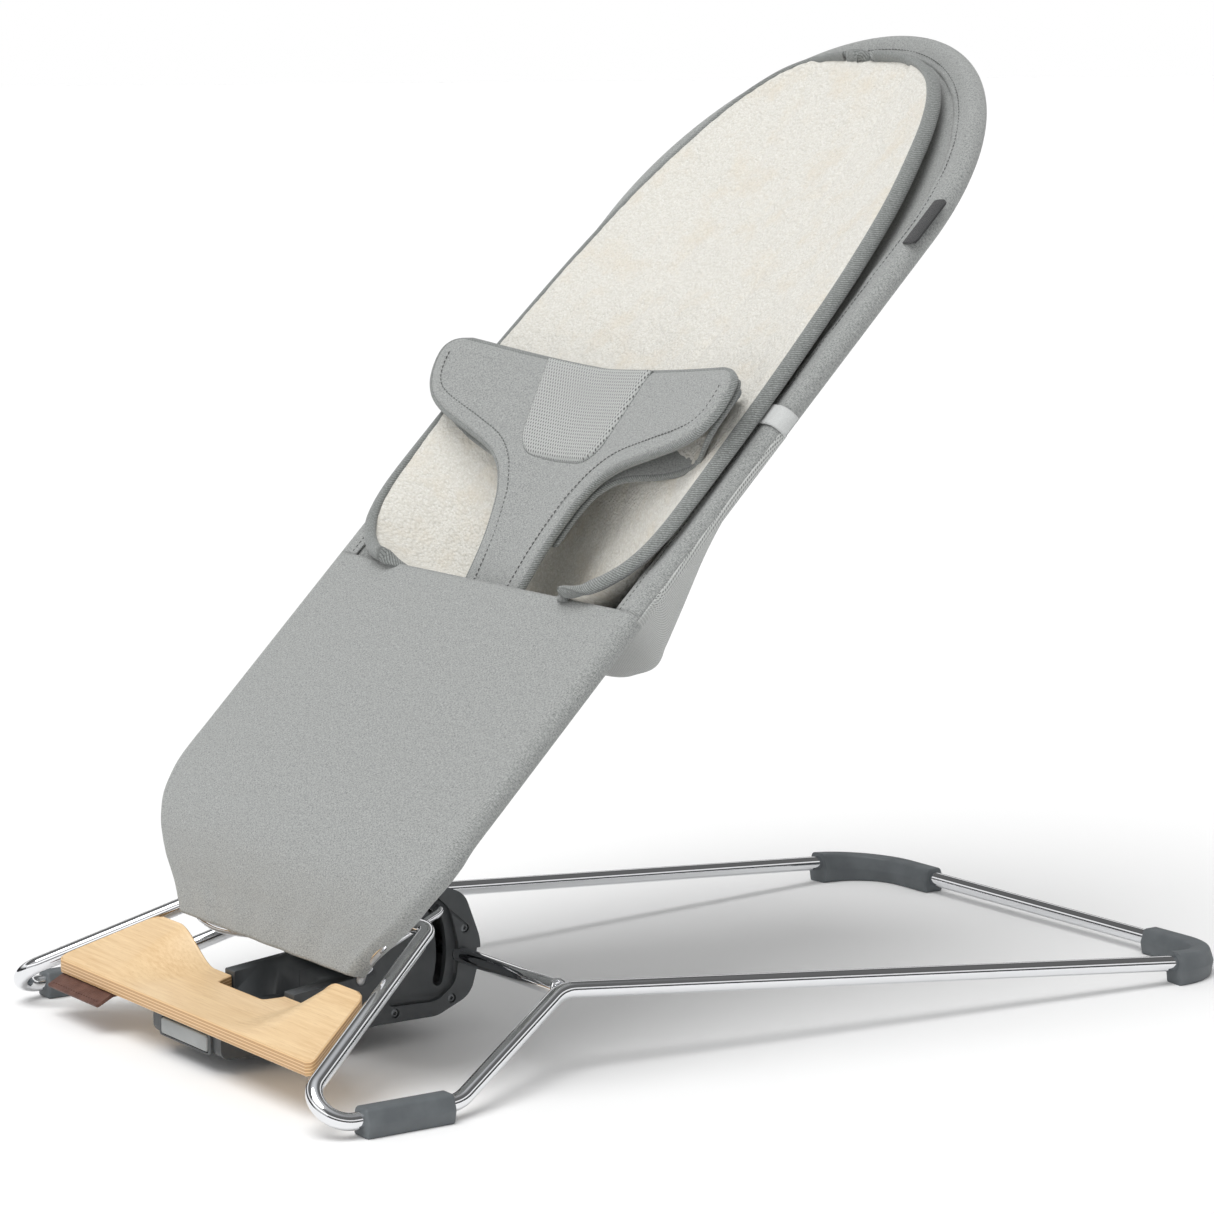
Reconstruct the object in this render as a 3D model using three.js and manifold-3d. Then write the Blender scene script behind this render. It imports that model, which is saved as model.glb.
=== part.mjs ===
// Bouncer seat: a bent wire base with a moulded plywood footplate and a plastic hub, and a fabric seat on a
// tube frame that reclines about a bar in front of the hub. Millimetres, +Z up, +Y from the feet to the head end,
// +X to the right as seen from the feet end. The origin is on the floor, under the middle of the base.
import * as THREE from 'three';
import { mergeVertices } from 'three/addons/utils/BufferGeometryUtils.js';
import Module from 'manifold-3d';

const wasm = await Module();
wasm.setup();

// ---- driving dimensions -------------------------------------------------------------------------------------
const GAP = 0.3;                    // clearance between touching pieces
const WIRE_R = 5.2;                 // base wire
const WIRE_Z = 10;                  // height of the wire's centre where it runs along the floor
const REAR_HALF = 197.4;            // half width of the base at the rear corners
const REAR_Y = 736.4;               // rear bar
const REAR_BEND = 45;
const KNEE = [153.5, 224.3, 52.9];  // where the leg turns into the side rail
const HEEL = [200, 121, WIRE_Z];    // where the floor run turns up into the leg
const TOE = [201, 0, WIRE_Z];       // virtual corner of the front bend
const CROWN = [101, 163, 88];       // where the front wire turns in to the hub
const TOE_BEND = 17;
const KNEE_BEND = 26;
const CROWN_BEND = 11;
const FOOT_FRONT = [54, 114];       // front sleeves, from and to along Y
const REAR_REACH = 745.49;          // rearmost point of the rear sleeves
const FRONT_REACH = 27.82;          // frontmost point of the front bends

const PLATE_FRONT = { y: 44.3, half: 168 };
const PLATE_BACK = { y: 101.6, half: 134.4 };
const PLATE_Z = 35.9;               // top face along the front edge
const PLATE_THICK = 9;
const WING_SLOPE = 0.47;            // rise of the plate's wings towards the back
const VALLEY_SLOPE = 0.104;         // rise of the plate's middle
const VALLEY_HALF = [54, 99];       // the wing starts and ends its curve at these distances from the middle

const HUB_HALF = 43;                // the hub's side faces
const HUB_WALL = 4;
const PIVOT = [144, 57];            // seat pivot, Y and Z
const BAR_R = 2.75;
const BAR_HALF = 58;                // the seat's lower tubes meet the bar here
const ARM_X = 52;
const ARM_END = [204, 86];          // where the recline arm turns in to the hub

const SEAT_TUBE_R = 4;
const SEAT_HALF = 165;              // seat rails
const SEAT_FOOT = [148, 155];       // the lower end of the straight rails, Y and Z
const SEAT_ANGLE = THREE.MathUtils.degToRad(45.3);
const RAIL_LENGTH = 483.4;
const HEAD_R = SEAT_HALF;
const POCKET = 170;                 // where the lower cover ends, along the rail
const BUCKET_END = 322;             // where the bucket ends, along the rail
const BUCKET_DEPTH = 114;           // scale of its depth below the plane of the rails
const CLOTH = 3;

const ORIGIN_Y = (FRONT_REACH + REAR_REACH) / 2;

// ---- materials ----------------------------------------------------------------------------------------------
const finish = (color, roughness, metalness = 0) =>
  new THREE.MeshStandardMaterial({ color, roughness, metalness });
const chrome = () => finish(0xd8dadc, 0.12, 1);
const brass = () => finish(0xb9933f, 0.3, 1);
const plastic = () => finish(0x4d5052, 0.5);
const lightPlastic = () => finish(0xa7abab, 0.45);
const footRubber = () => finish(0x6b7174, 0.65);
const birch = () => finish(0xe3c393, 0.5);
const leather = () => finish(0x5b3328, 0.6);
const greyCloth = () => finish(0x9a9d9b, 0.9);
const creamTerry = () => finish(0xefece2, 0.95);
const steel = () => finish(0x8f9294, 0.35, 1);
const blackWeave = () => finish(0x26272a, 0.85);

const bouncer = new THREE.Group();
bouncer.position.y = -ORIGIN_Y;

function add(name, geometry, material) {
  const mesh = new THREE.Mesh(geometry, material);
  mesh.name = name;
  bouncer.add(mesh);
}

// ---- geometry helpers ---------------------------------------------------------------------------------------
const vec = ([x, y, z]) => new THREE.Vector3(x, y, z);
const mirrored = (p, side) => [p[0] * side, p[1], p[2]];
const SIDES = [['right', 1], ['left', -1]];

// A circular arc that rounds the corner at `corner` between the directions to `from` and `to`.
class CornerArc extends THREE.Curve {
  constructor(from, corner, to, radius) {
    super();
    const a = from.clone().sub(corner).normalize();
    const b = to.clone().sub(corner).normalize();
    const half = a.angleTo(b) / 2;
    const tangentLength = radius / Math.tan(half);
    const bisector = a.clone().add(b).normalize();
    this.centre = corner.clone().addScaledVector(bisector, radius / Math.sin(half));
    this.start = corner.clone().addScaledVector(a, tangentLength);
    this.end = corner.clone().addScaledVector(b, tangentLength);
    this.radius = radius;
    this.sweep = Math.PI - 2 * half;
    this.out = this.start.clone().sub(this.centre).normalize();
    this.along = a.clone().negate();
  }

  getPoint(t) {
    const angle = t * this.sweep;
    return this.centre.clone()
      .addScaledVector(this.out, this.radius * Math.cos(angle))
      .addScaledVector(this.along, this.radius * Math.sin(angle));
  }
}

// The lines and arcs of a bent wire through `points`, with every inner corner rounded to `radius`.
function bentPath(points, radius) {
  const corners = points.map(vec);
  const path = new THREE.CurvePath();
  let last = corners[0];
  for (let i = 1; i < corners.length - 1; i++) {
    const arc = new CornerArc(corners[i - 1], corners[i], corners[i + 1], radius);
    if (last.distanceTo(arc.start) > 0.5) path.add(new THREE.LineCurve3(last, arc.start));
    path.add(arc);
    last = arc.end;
  }
  path.add(new THREE.LineCurve3(last, corners.at(-1)));
  return path;
}

function circle(radius) {
  return new THREE.Shape().absarc(0, 0, radius, 0, 2 * Math.PI);
}

function sweep(path, radius, step = 6, half = 6) {
  const steps = path instanceof THREE.LineCurve3 ? 1 : Math.ceil(path.getLength() / step);
  return new THREE.ExtrudeGeometry(circle(radius), {
    steps, extrudePath: path, curveSegments: half, bevelEnabled: false,
  });
}

const rod = (a, b, radius, half = 6) => sweep(new THREE.LineCurve3(vec(a), vec(b)), radius, 6, half);

// A profile drawn in (Y, Z), carried along X from x0 to x1.
function alongX(shape, x0, x1, segments = 4) {
  const g = new THREE.ExtrudeGeometry(shape, { depth: x1 - x0, bevelEnabled: false, curveSegments: segments });
  const frame = new THREE.Matrix4().makeBasis(
    new THREE.Vector3(0, 1, 0), new THREE.Vector3(0, 0, 1), new THREE.Vector3(1, 0, 0));
  return g.applyMatrix4(frame).translate(x0, 0, 0);
}

// A profile drawn in (X, Y), carried up from z0 to z1.
function upright(shape, z0, z1, segments = 8) {
  const g = new THREE.ExtrudeGeometry(shape, { depth: z1 - z0, bevelEnabled: false, curveSegments: segments });
  return g.translate(0, 0, z0);
}

// A closed outline with every corner rounded by an arc of the given radius: points are [x, y, radius].
function roundedShape(points) {
  const shape = new THREE.Shape();
  const n = points.length;
  const flat = points.map(([x, y]) => new THREE.Vector2(x, y));
  for (let i = 0; i < n; i++) {
    const p = flat[i];
    const a = flat[(i + n - 1) % n].clone().sub(p);
    const b = flat[(i + 1) % n].clone().sub(p);
    const radius = points[i][2] ?? 0;
    const cross = a.x * b.y - a.y * b.x;
    const half = Math.atan2(Math.abs(cross), a.dot(b)) / 2;
    const cut = radius / Math.tan(half);
    const start = p.clone().add(a.normalize().multiplyScalar(cut));
    const end = p.clone().add(b.normalize().multiplyScalar(cut));
    if (i === 0) shape.moveTo(start.x, start.y);
    else shape.lineTo(start.x, start.y);
    if (radius > 0) {
      const centre = p.clone().add(a.clone().normalize().add(b.clone().normalize())
        .normalize().multiplyScalar(radius / Math.sin(half)));
      const from = Math.atan2(start.y - centre.y, start.x - centre.x);
      const to = Math.atan2(end.y - centre.y, end.x - centre.x);
      shape.absarc(centre.x, centre.y, radius, from, to, cross > 0);
    }
  }
  shape.closePath();
  return shape;
}

const rectangle = (x0, y0, x1, y1, radius) =>
  roundedShape([[x0, y0, radius], [x1, y0, radius], [x1, y1, radius], [x0, y1, radius]]);

// A sheet of even thickness on the grid point(u, v), u and v from 0 to 1, closed by its four edges. The second
// face lies `thickness` along the normal dP/du x dP/dv from the first.
function sheet(point, nu, nv, thickness) {
  const e = 1e-3;
  const normal = (u, v) => {
    const du = point(Math.min(1, u + e), v).sub(point(Math.max(0, u - e), v));
    const dv = point(u, Math.min(1, v + e)).sub(point(u, Math.max(0, v - e)));
    return du.cross(dv).normalize();
  };
  const near = [];
  const far = [];
  for (let i = 0; i <= nu; i++) {
    for (let j = 0; j <= nv; j++) {
      const p = point(i / nu, j / nv);
      near.push(p);
      far.push(p.clone().addScaledVector(normal(i / nu, j / nv), thickness));
    }
  }
  const count = near.length;
  const at = (i, j) => i * (nv + 1) + j;
  const index = [];
  const quad = (a, b, c, d) => index.push(a, b, c, a, c, d);
  for (let i = 0; i < nu; i++) {
    for (let j = 0; j < nv; j++) {
      quad(at(i, j), at(i, j + 1), at(i + 1, j + 1), at(i + 1, j));
      quad(count + at(i, j), count + at(i + 1, j), count + at(i + 1, j + 1), count + at(i, j + 1));
    }
  }
  for (let i = 0; i < nu; i++) {
    quad(at(i, 0), at(i + 1, 0), count + at(i + 1, 0), count + at(i, 0));
    quad(at(i + 1, nv), at(i, nv), count + at(i, nv), count + at(i + 1, nv));
  }
  for (let j = 0; j < nv; j++) {
    quad(at(0, j + 1), at(0, j), count + at(0, j), count + at(0, j + 1));
    quad(at(nu, j), at(nu, j + 1), count + at(nu, j + 1), count + at(nu, j));
  }
  const g = new THREE.BufferGeometry();
  g.setAttribute('position', new THREE.Float32BufferAttribute(
    [...near, ...far].flatMap((p) => [p.x, p.y, p.z]), 3));
  g.setIndex(index);
  return g;
}

function toSolid(geometry) {
  const g = geometry.clone();
  g.deleteAttribute('normal');
  g.deleteAttribute('uv');
  const m = mergeVertices(g, 1e-4);
  return new wasm.Manifold(new wasm.Mesh({
    numProp: 3,
    vertProperties: new Float32Array(m.attributes.position.array),
    triVerts: new Uint32Array(m.index.array),
  }));
}

function toGeometry(solid) {
  const m = solid.getMesh();
  const g = new THREE.BufferGeometry();
  g.setAttribute('position', new THREE.BufferAttribute(Float32Array.from(m.vertProperties), 3));
  g.setIndex(new THREE.BufferAttribute(Uint32Array.from(m.triVerts), 1));
  return g;
}

const subtract = (body, ...tools) =>
  toGeometry(tools.reduce((s, t) => s.subtract(toSolid(t)), toSolid(body)));

const smoothstep = (a, b, x) => {
  const t = THREE.MathUtils.clamp((x - a) / (b - a), 0, 1);
  return t * t * (3 - 2 * t);
};

// ---- base wires ---------------------------------------------------------------------------------------------
// One bent chrome wire, cut into its runs at the ends of the bends. Runs meet end to end with a small gap.
function runBetween(a, b, startCut, endCut) {
  const along = b.clone().sub(a).normalize();
  return [a.clone().addScaledVector(along, startCut), b.clone().addScaledVector(along, -endCut)];
}

// The length that a bend of the given radius takes from each side of its corner.
function bendLength(from, corner, to, radius) {
  const half = vec(from).sub(vec(corner)).angleTo(vec(to).sub(vec(corner))) / 2;
  return radius / Math.tan(half);
}

function baseWires() {
  for (const [label, side] of SIDES) {
    const knee = mirrored(KNEE, side);
    const heel = mirrored(HEEL, side);
    const toe = mirrored(TOE, side);
    const crown = mirrored(CROWN, side);
    const corner = [REAR_HALF * side, REAR_Y, WIRE_Z];
    const hubEnd = [(HUB_HALF + GAP) * side, CROWN[1], CROWN[2]];
    const middle = [0, REAR_Y, WIRE_Z];
    const crownCut = bendLength(hubEnd, crown, toe, CROWN_BEND);
    const toeCut = bendLength(crown, toe, heel, TOE_BEND);
    const heelCut = bendLength(toe, heel, knee, KNEE_BEND);
    const kneeCut = bendLength(heel, knee, corner, KNEE_BEND);
    const cornerCut = bendLength(knee, corner, middle, REAR_BEND);
    const between = (a, b, p, q) => runBetween(vec(a), vec(b), p, q).map((v) => v.toArray());

    const [crownOut] = between(crown, toe, crownCut + 1, 0);
    add(`front_arm_${label}`, sweep(bentPath([hubEnd, crown, crownOut], CROWN_BEND), WIRE_R, 7), chrome());

    const [plateTop, plateBottom] = between(crown, toe, crownCut + 1 + GAP, toeCut + 1 + GAP);
    add(`plate_wire_${label}`, rod(plateTop, plateBottom, WIRE_R), chrome());

    const [, toeIn] = between(crown, toe, 0, toeCut + 1);
    const [, heelIn] = between(toe, heel, 0, heelCut + GAP);
    add(`floor_wire_${label}`, sweep(bentPath([toeIn, toe, heelIn], TOE_BEND), WIRE_R, 6), chrome());

    const [, heelStart] = between(toe, heel, 0, heelCut);
    const [railStart] = between(knee, corner, kneeCut + 1, 0);
    add(`leg_wire_${label}`, sweep(bentPath([heelStart, heel, knee, railStart], KNEE_BEND), WIRE_R, 7), chrome());

    const [railFront, railRear] = between(knee, corner, kneeCut + 1 + GAP, cornerCut + GAP);
    add(`side_rail_${label}`, rod(railFront, railRear, WIRE_R), chrome());

    const [, cornerIn] = between(knee, corner, 0, cornerCut);
    const [cornerOut] = between(corner, middle, cornerCut, 0);
    add(`rear_corner_${label}`,
      sweep(new CornerArc(vec(cornerIn), vec(corner), vec(cornerOut), REAR_BEND), WIRE_R, 7), chrome());
    if (side === 1) {
      const half = Math.abs(cornerOut[0]) - GAP;
      add('rear_bar', rod([-half, REAR_Y, WIRE_Z], [half, REAR_Y, WIRE_Z], WIRE_R), chrome());
    }
  }
  const weldEnd = KNEE[0] - 9.5;
  add('cross_tube', rod([-weldEnd, KNEE[1], KNEE[2]], [weldEnd, KNEE[1], KNEE[2]], WIRE_R), chrome());
}

// ---- feet ---------------------------------------------------------------------------------------------------
// Sleeves with a flat sole and a six-sided section, slit along the outside for pushing over the wire.
const SOLE_HALF = 7.5;
const SLEEVE_HALF = 9.2;
const SLEEVE_TOP = 17.6;

function sleeveSection() {
  return roundedShape([
    [-SOLE_HALF, 0, 1.5], [SOLE_HALF, 0, 1.5], [SLEEVE_HALF, 8.5, 3], [6, SLEEVE_TOP, 3],
    [-6, SLEEVE_TOP, 3], [-SLEEVE_HALF, 8.5, 3]]);
}

function feet() {
  for (const [label, side] of SIDES) {
    const [y0, y1] = FOOT_FRONT;
    const along = new THREE.ExtrudeGeometry(sleeveSection(), { depth: y1 - y0, bevelEnabled: false, curveSegments: 3 });
    along.rotateX(Math.PI / 2);
    along.translate(TOE[0] * side - 0.4 * side, y1, 0);
    const bore = rod([(TOE[0] - 0.4) * side, y0 - 5, WIRE_Z], [(TOE[0] - 0.4) * side, y1 + 5, WIRE_Z], WIRE_R + 0.8);
    add(`front_foot_${label}`, subtract(along, bore), footRubber());
    add(`rear_foot_${label}`, rearFoot(side), footRubber());
  }
}

// The rear sleeve follows the rear corner of the wire with its sole flat on the floor.
function rearFoot(side) {
  const knee = mirrored(KNEE, side);
  const corner = [REAR_HALF * side, REAR_Y, WIRE_Z];
  const middle = [0, REAR_Y, WIRE_Z];
  const cut = bendLength(knee, corner, middle, REAR_BEND);
  const start = vec(corner).addScaledVector(vec(knee).sub(vec(corner)).normalize(), cut + 6).toArray();
  const end = [(REAR_HALF - cut - 32) * side, REAR_Y, WIRE_Z];
  const path = bentPath([start, corner, end], REAR_BEND);
  const outline = sleeveSection().getPoints(1).slice(0, -1);
  const sleeve = sleeveAlong(path, outline, 0, (q, lift) => q.y * (1 + lift / SLEEVE_TOP));
  const ring = circle(WIRE_R + 0.8).getPoints(4).slice(0, -1);
  const hole = sleeveAlong(path, ring, 4, (q, lift) => q.y + WIRE_Z + lift);
  return subtract(sleeve, hole);
}

// Carries a closed outline along a nearly level path. height(q, lift) is the height of outline point q where the
// path lies `lift` above the floor run; both ends are lengthened by `extra`.
function sleeveAlong(path, outline, extra, height) {
  const steps = 10;
  const n = outline.length;
  const positions = [];
  for (let i = 0; i <= steps; i++) {
    const t = i / steps;
    const p = path.getPointAt(t);
    const tangent = path.getTangentAt(THREE.MathUtils.clamp(t, 0.001, 0.999)).setZ(0).normalize();
    if (i === 0) p.addScaledVector(tangent, -extra);
    if (i === steps) p.addScaledVector(tangent, extra);
    for (const q of outline) {
      positions.push(p.x + tangent.y * q.x, p.y - tangent.x * q.x, height(q, p.z - WIRE_Z));
    }
  }
  const index = [];
  for (let i = 0; i < steps; i++) {
    for (let j = 0; j < n; j++) {
      const a = i * n + j;
      const b = i * n + (j + 1) % n;
      index.push(a, b + n, b, a, a + n, b + n);
    }
  }
  const last = steps * n;
  for (const [a, b, c] of THREE.ShapeUtils.triangulateShape(outline, [])) {
    index.push(a, b, c, last + a, last + c, last + b);
  }
  const g = new THREE.BufferGeometry();
  g.setAttribute('position', new THREE.Float32BufferAttribute(positions, 3));
  g.setIndex(index);
  return g;
}

// ---- footplate ----------------------------------------------------------------------------------------------
const plateSlope = (x) =>
  THREE.MathUtils.lerp(VALLEY_SLOPE, WING_SLOPE, smoothstep(VALLEY_HALF[0], VALLEY_HALF[1], Math.abs(x)));
const plateTop = (x, y) => PLATE_Z + (y - PLATE_FRONT.y) * plateSlope(x);
const plateBottom = (x, y) => plateTop(x, y) - PLATE_THICK;

function footplate() {
  const notchHalf = 35;
  const notchFront = 89;
  const outline = roundedShape([
    [-PLATE_FRONT.half, PLATE_FRONT.y, 7], [PLATE_FRONT.half, PLATE_FRONT.y, 7],
    [PLATE_BACK.half, PLATE_BACK.y, 6], [notchHalf, PLATE_BACK.y, 1.5],
    [notchHalf - 3, notchFront, 6], [3 - notchHalf, notchFront, 6], [-notchHalf, PLATE_BACK.y, 1.5],
    [-PLATE_BACK.half, PLATE_BACK.y, 6]]);
  const reach = 175;
  const y0 = PLATE_FRONT.y - 2;
  const y1 = PLATE_BACK.y + 2;
  const top = (u, v) => {
    const x = THREE.MathUtils.lerp(-reach, reach, u);
    const y = THREE.MathUtils.lerp(y0, y1, v);
    return new THREE.Vector3(x, y, plateTop(x, y));
  };
  const block = verticalSlab(top, 32, 2, PLATE_THICK);
  const board = toSolid(block).intersect(toSolid(upright(outline, 0, 90, 5)));
  // the side wires lie in round grooves along the slanted ends
  const grooves = SIDES.map(([, side]) => rod(mirrored(CROWN, side), mirrored(TOE, side), WIRE_R + GAP));
  const holes = SIDES.map(([, side]) =>
    rod([SCREW_X * side, SCREW_Y, 10], [SCREW_X * side, SCREW_Y, plateBottom(0, SCREW_Y) + 5], 1.9));
  const cut = [...grooves, ...holes].reduce((s, t) => s.subtract(toSolid(t)), board);
  add('footplate', toGeometry(cut), birch());
}

// A slab under the grid point(u, v), `thickness` deep straight down.
function verticalSlab(point, nu, nv, thickness) {
  const top = [];
  for (let i = 0; i <= nu; i++) for (let j = 0; j <= nv; j++) top.push(point(i / nu, j / nv));
  const count = top.length;
  const below = top.map((p) => new THREE.Vector3(p.x, p.y, p.z - thickness));
  const at = (i, j) => i * (nv + 1) + j;
  const index = [];
  const quad = (a, b, c, d) => index.push(a, b, c, a, c, d);
  for (let i = 0; i < nu; i++) {
    for (let j = 0; j < nv; j++) {
      quad(at(i, j), at(i + 1, j), at(i + 1, j + 1), at(i, j + 1));
      quad(count + at(i, j), count + at(i, j + 1), count + at(i + 1, j + 1), count + at(i + 1, j));
    }
    quad(at(i, 0), count + at(i, 0), count + at(i + 1, 0), at(i + 1, 0));
    quad(at(i, nv), at(i + 1, nv), count + at(i + 1, nv), count + at(i, nv));
  }
  for (let j = 0; j < nv; j++) {
    quad(at(0, j), at(0, j + 1), count + at(0, j + 1), count + at(0, j));
    quad(at(nu, j), count + at(nu, j), count + at(nu, j + 1), at(nu, j + 1));
  }
  const g = new THREE.BufferGeometry();
  g.setAttribute('position', new THREE.Float32BufferAttribute([...top, ...below].flatMap((p) => p.toArray()), 3));
  g.setIndex(index);
  return g;
}

const SCREW_Y = 72;
const SCREW_X = 22;

function plateFasteners() {
  for (const [label, side] of SIDES) {
    const tip = plateBottom(0, SCREW_Y) + 4.5;
    const profile = [[0, SPINE_ROOF - 3], [3.2, SPINE_ROOF - 3], [3.2, SPINE_ROOF - 0.4], [1.6, SPINE_ROOF - 0.4],
      [1.6, tip], [0, tip]].map(([r, z]) => new THREE.Vector2(r, z));
    const screw = new THREE.LatheGeometry(profile, 10).rotateX(Math.PI / 2).translate(SCREW_X * side, SCREW_Y, 0);
    add(`plate_screw_${label}`, screw, steel());
  }
}

const TAG_SPAN = [-156, -88];

function leatherTag() {
  // a strip of leather fixed under the plate's front edge, leaning forward and down
  const rootTop = PLATE_Z - PLATE_THICK - GAP;
  const profile = roundedShape([[54, rootTop + 0.6], [46, rootTop], [34.5, 20.6, 0.8], [35.3, 18.6, 0.8],
    [47, rootTop - 2.3], [54, rootTop - 1.7]]);
  add('leather_tag', alongX(profile, ...TAG_SPAN, 2), leather());
}

// ---- hub ----------------------------------------------------------------------------------------------------
// Two moulded halves that meet at X = 0. The spine runs forward under the plate to the release button.
const spineTop = (y) => plateTop(0, y) + 2.4;
const NOSE_Y = 51;
const SPINE_UNDER = 9;
const SPINE_STEP = PLATE_BACK.y + 0.6;    // behind the plate the spine rises to its full height

function hubOutline() {
  return roundedShape([
    [NOSE_Y, SPINE_UNDER + 2, 6], [100, SPINE_UNDER, 20], [160, 16.6, 8], [205, 16.6, 20], [230, 27, 16],
    [239, 58, 30], [226, 92, 16], [200, 104, 10], [164, 104, 8], [157, spineTop(157), 1],
    [SPINE_STEP, spineTop(SPINE_STEP), 1], [SPINE_STEP, plateBottom(0, SPINE_STEP) - GAP],
    [NOSE_Y, plateBottom(0, NOSE_Y) - GAP, 1.5]]);
}

// The hollow inside: a chamber behind the button, a tunnel for the release rod, and a chamber for the latch.
const SPINE_ROOF = 24.4;
const NOSE_CHAMBER_END = 98;

function hubHollow() {
  const half = HUB_HALF - HUB_WALL - 4;
  const nose = roundedShape([[NOSE_Y + 3, 13, 2], [NOSE_CHAMBER_END, 13, 1],
    [NOSE_CHAMBER_END, SPINE_ROOF, 1], [NOSE_Y + 3, SPINE_ROOF, 1]]);
  const latch = roundedShape([[161, 20, 2], [205, 20.6, 14], [226, 30, 12], [233, 58, 26], [222, 88, 12],
    [200, 100, 8], [166, 100, 4]]);
  const tunnel = new THREE.BoxGeometry(8, 66, SPINE_ROOF - 19.8)
    .translate(0, NOSE_CHAMBER_END + 32, (SPINE_ROOF + 19.8) / 2);
  return toGeometry(toSolid(alongX(nose, -half, half)).add(toSolid(tunnel)).add(toSolid(alongX(latch, -half, half))));
}

function hub() {
  for (const [label, side] of SIDES) {
    const split = 0.15;
    const outer = side > 0 ? [split, HUB_HALF] : [-HUB_HALF, -split];
    const shell = toSolid(alongX(hubOutline(), ...outer));
    // the side face is recessed inside a raised rim, and an arc slot lets the recline arm's end swing
    const face = side > 0 ? [HUB_HALF - 4, HUB_HALF + 1] : [-HUB_HALF - 1, -HUB_HALF + 4];
    const slot = side > 0 ? [HUB_HALF - 12, HUB_HALF + 1] : [-HUB_HALF - 1, -HUB_HALF + 12];
    const crossHole = rod([-80, KNEE[1], KNEE[2]], [80, KNEE[1], KNEE[2]], WIRE_R + GAP);
    const notch = alongX(rectangle(222, 49.5, 245, 56.3, 2), ...face);
    const tools = [
      alongX(recess(), ...face), alongX(armSlot(), ...slot), crossHole, notch,
      pocketCut(), buttonCut(), rod([SCREW_X * side, SCREW_Y, 15], [SCREW_X * side, SCREW_Y, 40], 1.9),
      ...hubScrewCentres().map(([y, z]) => rod([(HUB_HALF - 3) * side, y, z], [(HUB_HALF + 2) * side, y, z], 3)),
    ];
    const half = tools.reduce((s, t) => s.subtract(toSolid(t)), shell.subtract(toSolid(hubHollow())));
    add(`hub_${label}`, toGeometry(half), plastic());
    for (const [i, [y, z]] of hubScrewCentres().entries()) {
      const head = rod([(HUB_HALF - 3 + GAP) * side, y, z], [(HUB_HALF - 1) * side, y, z], 3 - GAP, 5);
      add(`hub_screw_${label}_${i + 1}`, head, steel());
    }
  }
}

// The recess follows the rim of the hub and is open towards the front.
function recess() {
  return roundedShape([[168, 27, 6], [205, 26, 16], [219, 36, 14], [222, 58, 40], [215, 84, 12],
    [203, 95, 8], [168, 95, 8]]);
}

const hubScrewCentres = () => [[226, 70], [216, 26.4], [174.3, 22.4]];

// An arc slot about the pivot, as long as the recline travel.
const RECLINE = THREE.MathUtils.degToRad(42);

function armSlot() {
  const [py, pz] = PIVOT;
  const radius = Math.hypot(ARM_END[0] - py, ARM_END[1] - pz);
  const top = Math.atan2(ARM_END[1] - pz, ARM_END[0] - py);
  const wide = BAR_R + 1;
  const shape = new THREE.Shape();
  const low = top - RECLINE;
  shape.absarc(py, pz, radius + wide, low, top, false);
  shape.absarc(py + radius * Math.cos(top), pz + radius * Math.sin(top), wide, top, top + Math.PI, false);
  shape.absarc(py, pz, radius - wide, top, low, true);
  shape.absarc(py + radius * Math.cos(low), pz + radius * Math.sin(low), wide, low + Math.PI, low + 2 * Math.PI, false);
  return shape;
}

// The open pocket in the spine's top, behind the plate.
function pocketCut() {
  return upright(rectangle(-31, 86, 31, 131, 11), SPINE_ROOF + 2.5, 60, 3);
}

function buttonCut() {
  return new THREE.BoxGeometry(66, 30, 14).translate(0, NOSE_Y, 18.4);
}

// ---- release ------------------------------------------------------------------------------------------------
const BUTTON_HALF = 29;
const ROD_Z = 22;
const BUTTON_TRAVEL = 4;

function release() {
  // bezel: a rectangular frame round the button
  const frameShape = rectangle(-33 + GAP, 11.4 + GAP, 33 - GAP, 25.4 - GAP, 2.5);
  frameShape.holes.push(rectangle(-BUTTON_HALF - 0.6, 12.8, BUTTON_HALF + 0.6, 24.2, 2));
  const bezel = new THREE.ExtrudeGeometry(frameShape, { depth: 12, bevelEnabled: false, curveSegments: 3 });
  add('button_bezel', bezel.rotateX(Math.PI / 2).translate(0, NOSE_Y + 10.5, 0), plastic());

  const key = new THREE.ExtrudeGeometry(rectangle(-BUTTON_HALF, 13.3, BUTTON_HALF, 23.7, 2), {
    depth: 9, bevelEnabled: true, bevelSize: 0.6, bevelThickness: 0.8, bevelOffset: -0.6, bevelSegments: 1,
    curveSegments: 3,
  });
  key.rotateX(Math.PI / 2).translate(0, NOSE_Y + 7.4, 0);
  add('release_button', key, lightPlastic());

  const rodStart = NOSE_Y + 7.4 + 0.8 + GAP;
  const latchFront = 176;
  add('release_rod', rod([0, rodStart, ROD_Z], [0, latchFront - GAP, ROD_Z], 1.4, 4), steel());
  // the latch plate: a toothed comb that holds the two arm ends
  const plate = roundedShape([[latchFront, 15.8 + 6, 1], [198, 22, 1], [198, 30, 1], [188, 34, 1], [188, 62, 1],
    [194, 66, 1], [188, 70, 1], [194, 76, 1], [186, 80, 1], [180, 78, 1], [180, 26, 1], [latchFront, 25, 1]]);
  add('latch_plate', alongX(plate, -28, 28, 2), steel());

  // the spring is drawn at its pressed length, so the button has its travel in front of it
  add('button_spring', helix(14, 18.8, rodStart + 0.6 + BUTTON_TRAVEL, NOSE_CHAMBER_END - 0.9, 6), steel());
}

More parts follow.
